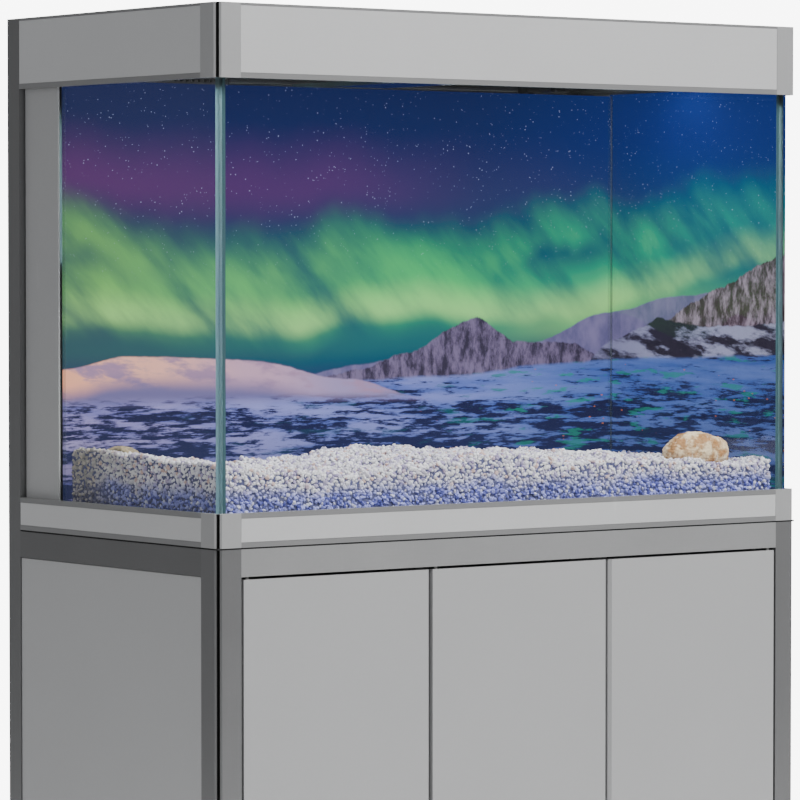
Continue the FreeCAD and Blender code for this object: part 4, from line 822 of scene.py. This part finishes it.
# ------------------------------------------------------------------ display stones
# Two rounded stones half sunk in the gravel: an ochre one at the left, and a cream and orange
# one with ribs like an old shell at the right.
# Place, half length, half width, half height and turn in degrees of each stone.
STONES = ((-0.5077, 0.0975, 0.044, 0.036, 0.026, 20),
          (0.4477, -0.2217, 0.064, 0.035, 0.036, -15))
STONE_LEVEL = 0.82
stones = bmesh.new()
for stone_x, stone_y, length, width, height, turn in STONES:
    seat = (Matrix.Translation((stone_x, stone_y, STONE_LEVEL))
            @ Matrix.Rotation(math.radians(turn), 4, "Z"))
    made = bmesh.ops.create_icosphere(stones, subdivisions=6, radius=1)
    for point in made["verts"]:
        way = point.co.normalized()
        lumps = noise.noise(way * 1.6 + Vector((stone_x * 9, 0, 0))) * 0.10
        ribs = math.sin(way.x * 22 + noise.noise(way * 2.2) * 4) * 0.02 * (1 - abs(way.x))
        pits = noise.fractal(way * 9, 0.7, 2.1, 5) * 0.035
        size = 0.93 + min(0.07, lumps + ribs + pits)
        point.co = seat @ Vector((way.x * length * size, way.y * width * size,
                                  way.z * height * size))
stone_finish, stone_tree, stone_shader = blank_finish("ribbed_stone")
stone_spot = stone_tree.nodes.new("ShaderNodeSeparateXYZ")
feed(stone_tree, stone_spot.inputs[0], own_place(stone_tree))
mottle = cloud(stone_tree, own_place(stone_tree), 42, 6, 0.65)
veins = cloud(stone_tree, stretch(stone_tree, own_place(stone_tree), (1, 1, 0.4)), 95, 5, 0.6)
cream = tint(stone_tree, ease(stone_tree, mottle, 0.42, 0.6), (0.42, 0.20, 0.07),
             (0.90, 0.70, 0.46))
cream = tint(stone_tree, ease(stone_tree, veins, 0.55, 0.7), cream, (0.86, 0.80, 0.72))
earth = tint(stone_tree, ease(stone_tree, mottle, 0.4, 0.62), (0.10, 0.08, 0.05),
             (0.42, 0.33, 0.2))
feed(stone_tree, stone_shader.inputs["Base Color"],
     tint(stone_tree, ease(stone_tree, stone_spot.outputs["X"], -0.1, 0.0), earth, cream))
feed(stone_tree, stone_shader.inputs["Roughness"],
     sum_up(stone_tree, "MULTIPLY_ADD", mottle, 0.2, 0.55))
emboss(stone_tree, stone_shader, veins, 0.5, 0.002)
stone_set = finished("display_stones", stones, stone_finish, smooth=True)
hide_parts("rocks")

# ------------------------------------------------------------------ filter basket, rings, comb
# Smoke-grey moulded basket and comb; porous off-white ceramic rings.
dress(skin("basket_plastic", (0.08, 0.085, 0.09), 0.38, 0.0, fine=0.1, marks=0.2, speck=0.2,
           bump=0.1), "media_basket")
dress(skin("comb_plastic", (0.02, 0.02, 0.022), 0.36, 0.0, fine=0.1, marks=0.2, speck=0.2),
      "overflow_comb")
dress(skin("porous_ceramic", (0.72, 0.68, 0.6), 0.82, 0.0, fine=0.4, marks=0.3, speck=0.6,
           bump=0.9), "ceramic_rings")

# ------------------------------------------------------------------ filter sponge
# Block of open-cell blue foam pressed into the top of the basket, with soft rounded edges.
sponge_low, sponge_high = (Vector(corner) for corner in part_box("filter_sponge"))
FOAM_RADIUS = 0.006
FOAM_DENT = 0.0022
foam = bmesh.new()
slab(foam, sponge_low, sponge_high, FOAM_RADIUS, 4)
bmesh.ops.subdivide_edges(foam, edges=[edge for edge in foam.edges if edge.calc_length() > 0.02],
                          cuts=14, use_grid_fill=True)
bmesh.ops.recalc_face_normals(foam, faces=foam.faces)
foam.normal_update()
for point in foam.verts:
    dent = (noise.noise(point.co * 55) - 0.4) * FOAM_DENT
    point.co += point.normal * min(0.0, dent)
foam_finish, foam_tree, foam_shader = blank_finish("open_cell_foam")
cells = foam_tree.nodes.new("ShaderNodeTexVoronoi")
feed(foam_tree, cells.inputs["Vector"], own_place(foam_tree))
cells.inputs["Scale"].default_value = 620
# Painted shade: the foam is darkest at the centres of its cells, as shade in the pores.
feed(foam_tree, foam_shader.inputs["Base Color"],
     tint(foam_tree, ease(foam_tree, cells.outputs["Distance"], 0.15, 0.6), (0.01, 0.03, 0.09),
          tint(foam_tree, cloud(foam_tree, own_place(foam_tree), 30, 4), (0.03, 0.10, 0.3),
               (0.09, 0.22, 0.5))))
feed(foam_tree, foam_shader.inputs["Roughness"],
     sum_up(foam_tree, "MULTIPLY_ADD", cells.outputs["Distance"], 0.1, 0.85))
emboss(foam_tree, foam_shader, cells.outputs["Distance"], 0.9, 0.001)
foam_block = finished("filter_foam", foam, foam_finish, smooth=True)
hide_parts("filter_sponge")

# ------------------------------------------------------------------ pump, pipe, nozzle, heater
# Black moulded pump and nozzle, clear-grey riser pipe, and a glass heater with a black cap.
dress(skin("pump_plastic", (0.025, 0.026, 0.028), 0.4, 0.0, fine=0.1, marks=0.25, speck=0.3,
           bump=0.15), "return_pump", "return_nozzle")
dress(skin("pipe_plastic", (0.32, 0.33, 0.34), 0.3, 0.0, (1, 1, 0.05), 0.15, 0.2, 0.05),
      "return_pipe")
heater_finish = skin("heater_glass", (0.02, 0.02, 0.022), 0.12, 0.0, fine=0.05, marks=0.1,
                     speck=0.05, extras={"Coat Weight": 1.0})
heater_tree = heater_finish.node_tree
heater_spot = heater_tree.nodes.new("ShaderNodeSeparateXYZ")
feed(heater_tree, heater_spot.inputs[0], own_place(heater_tree))
heater_rise = heater_spot.outputs["Z"]
coil = sum_up(heater_tree, "SINE", sum_up(heater_tree, "MULTIPLY", heater_rise, 1500.0))
heater_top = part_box("heater")[1][2]
in_tube = sum_up(heater_tree, "MULTIPLY", ease(heater_tree, heater_rise, 0.80, 0.82),
                 ease(heater_tree, heater_rise, heater_top - 0.12, heater_top - 0.14))
feed(heater_tree, heater_tree.nodes["Principled BSDF"].inputs["Base Color"],
     tint(heater_tree, sum_up(heater_tree, "MULTIPLY", in_tube, ease(heater_tree, coil, 0, 0.4)),
          (0.03, 0.032, 0.035), (0.5, 0.42, 0.33)))
dress(heater_finish, "heater")
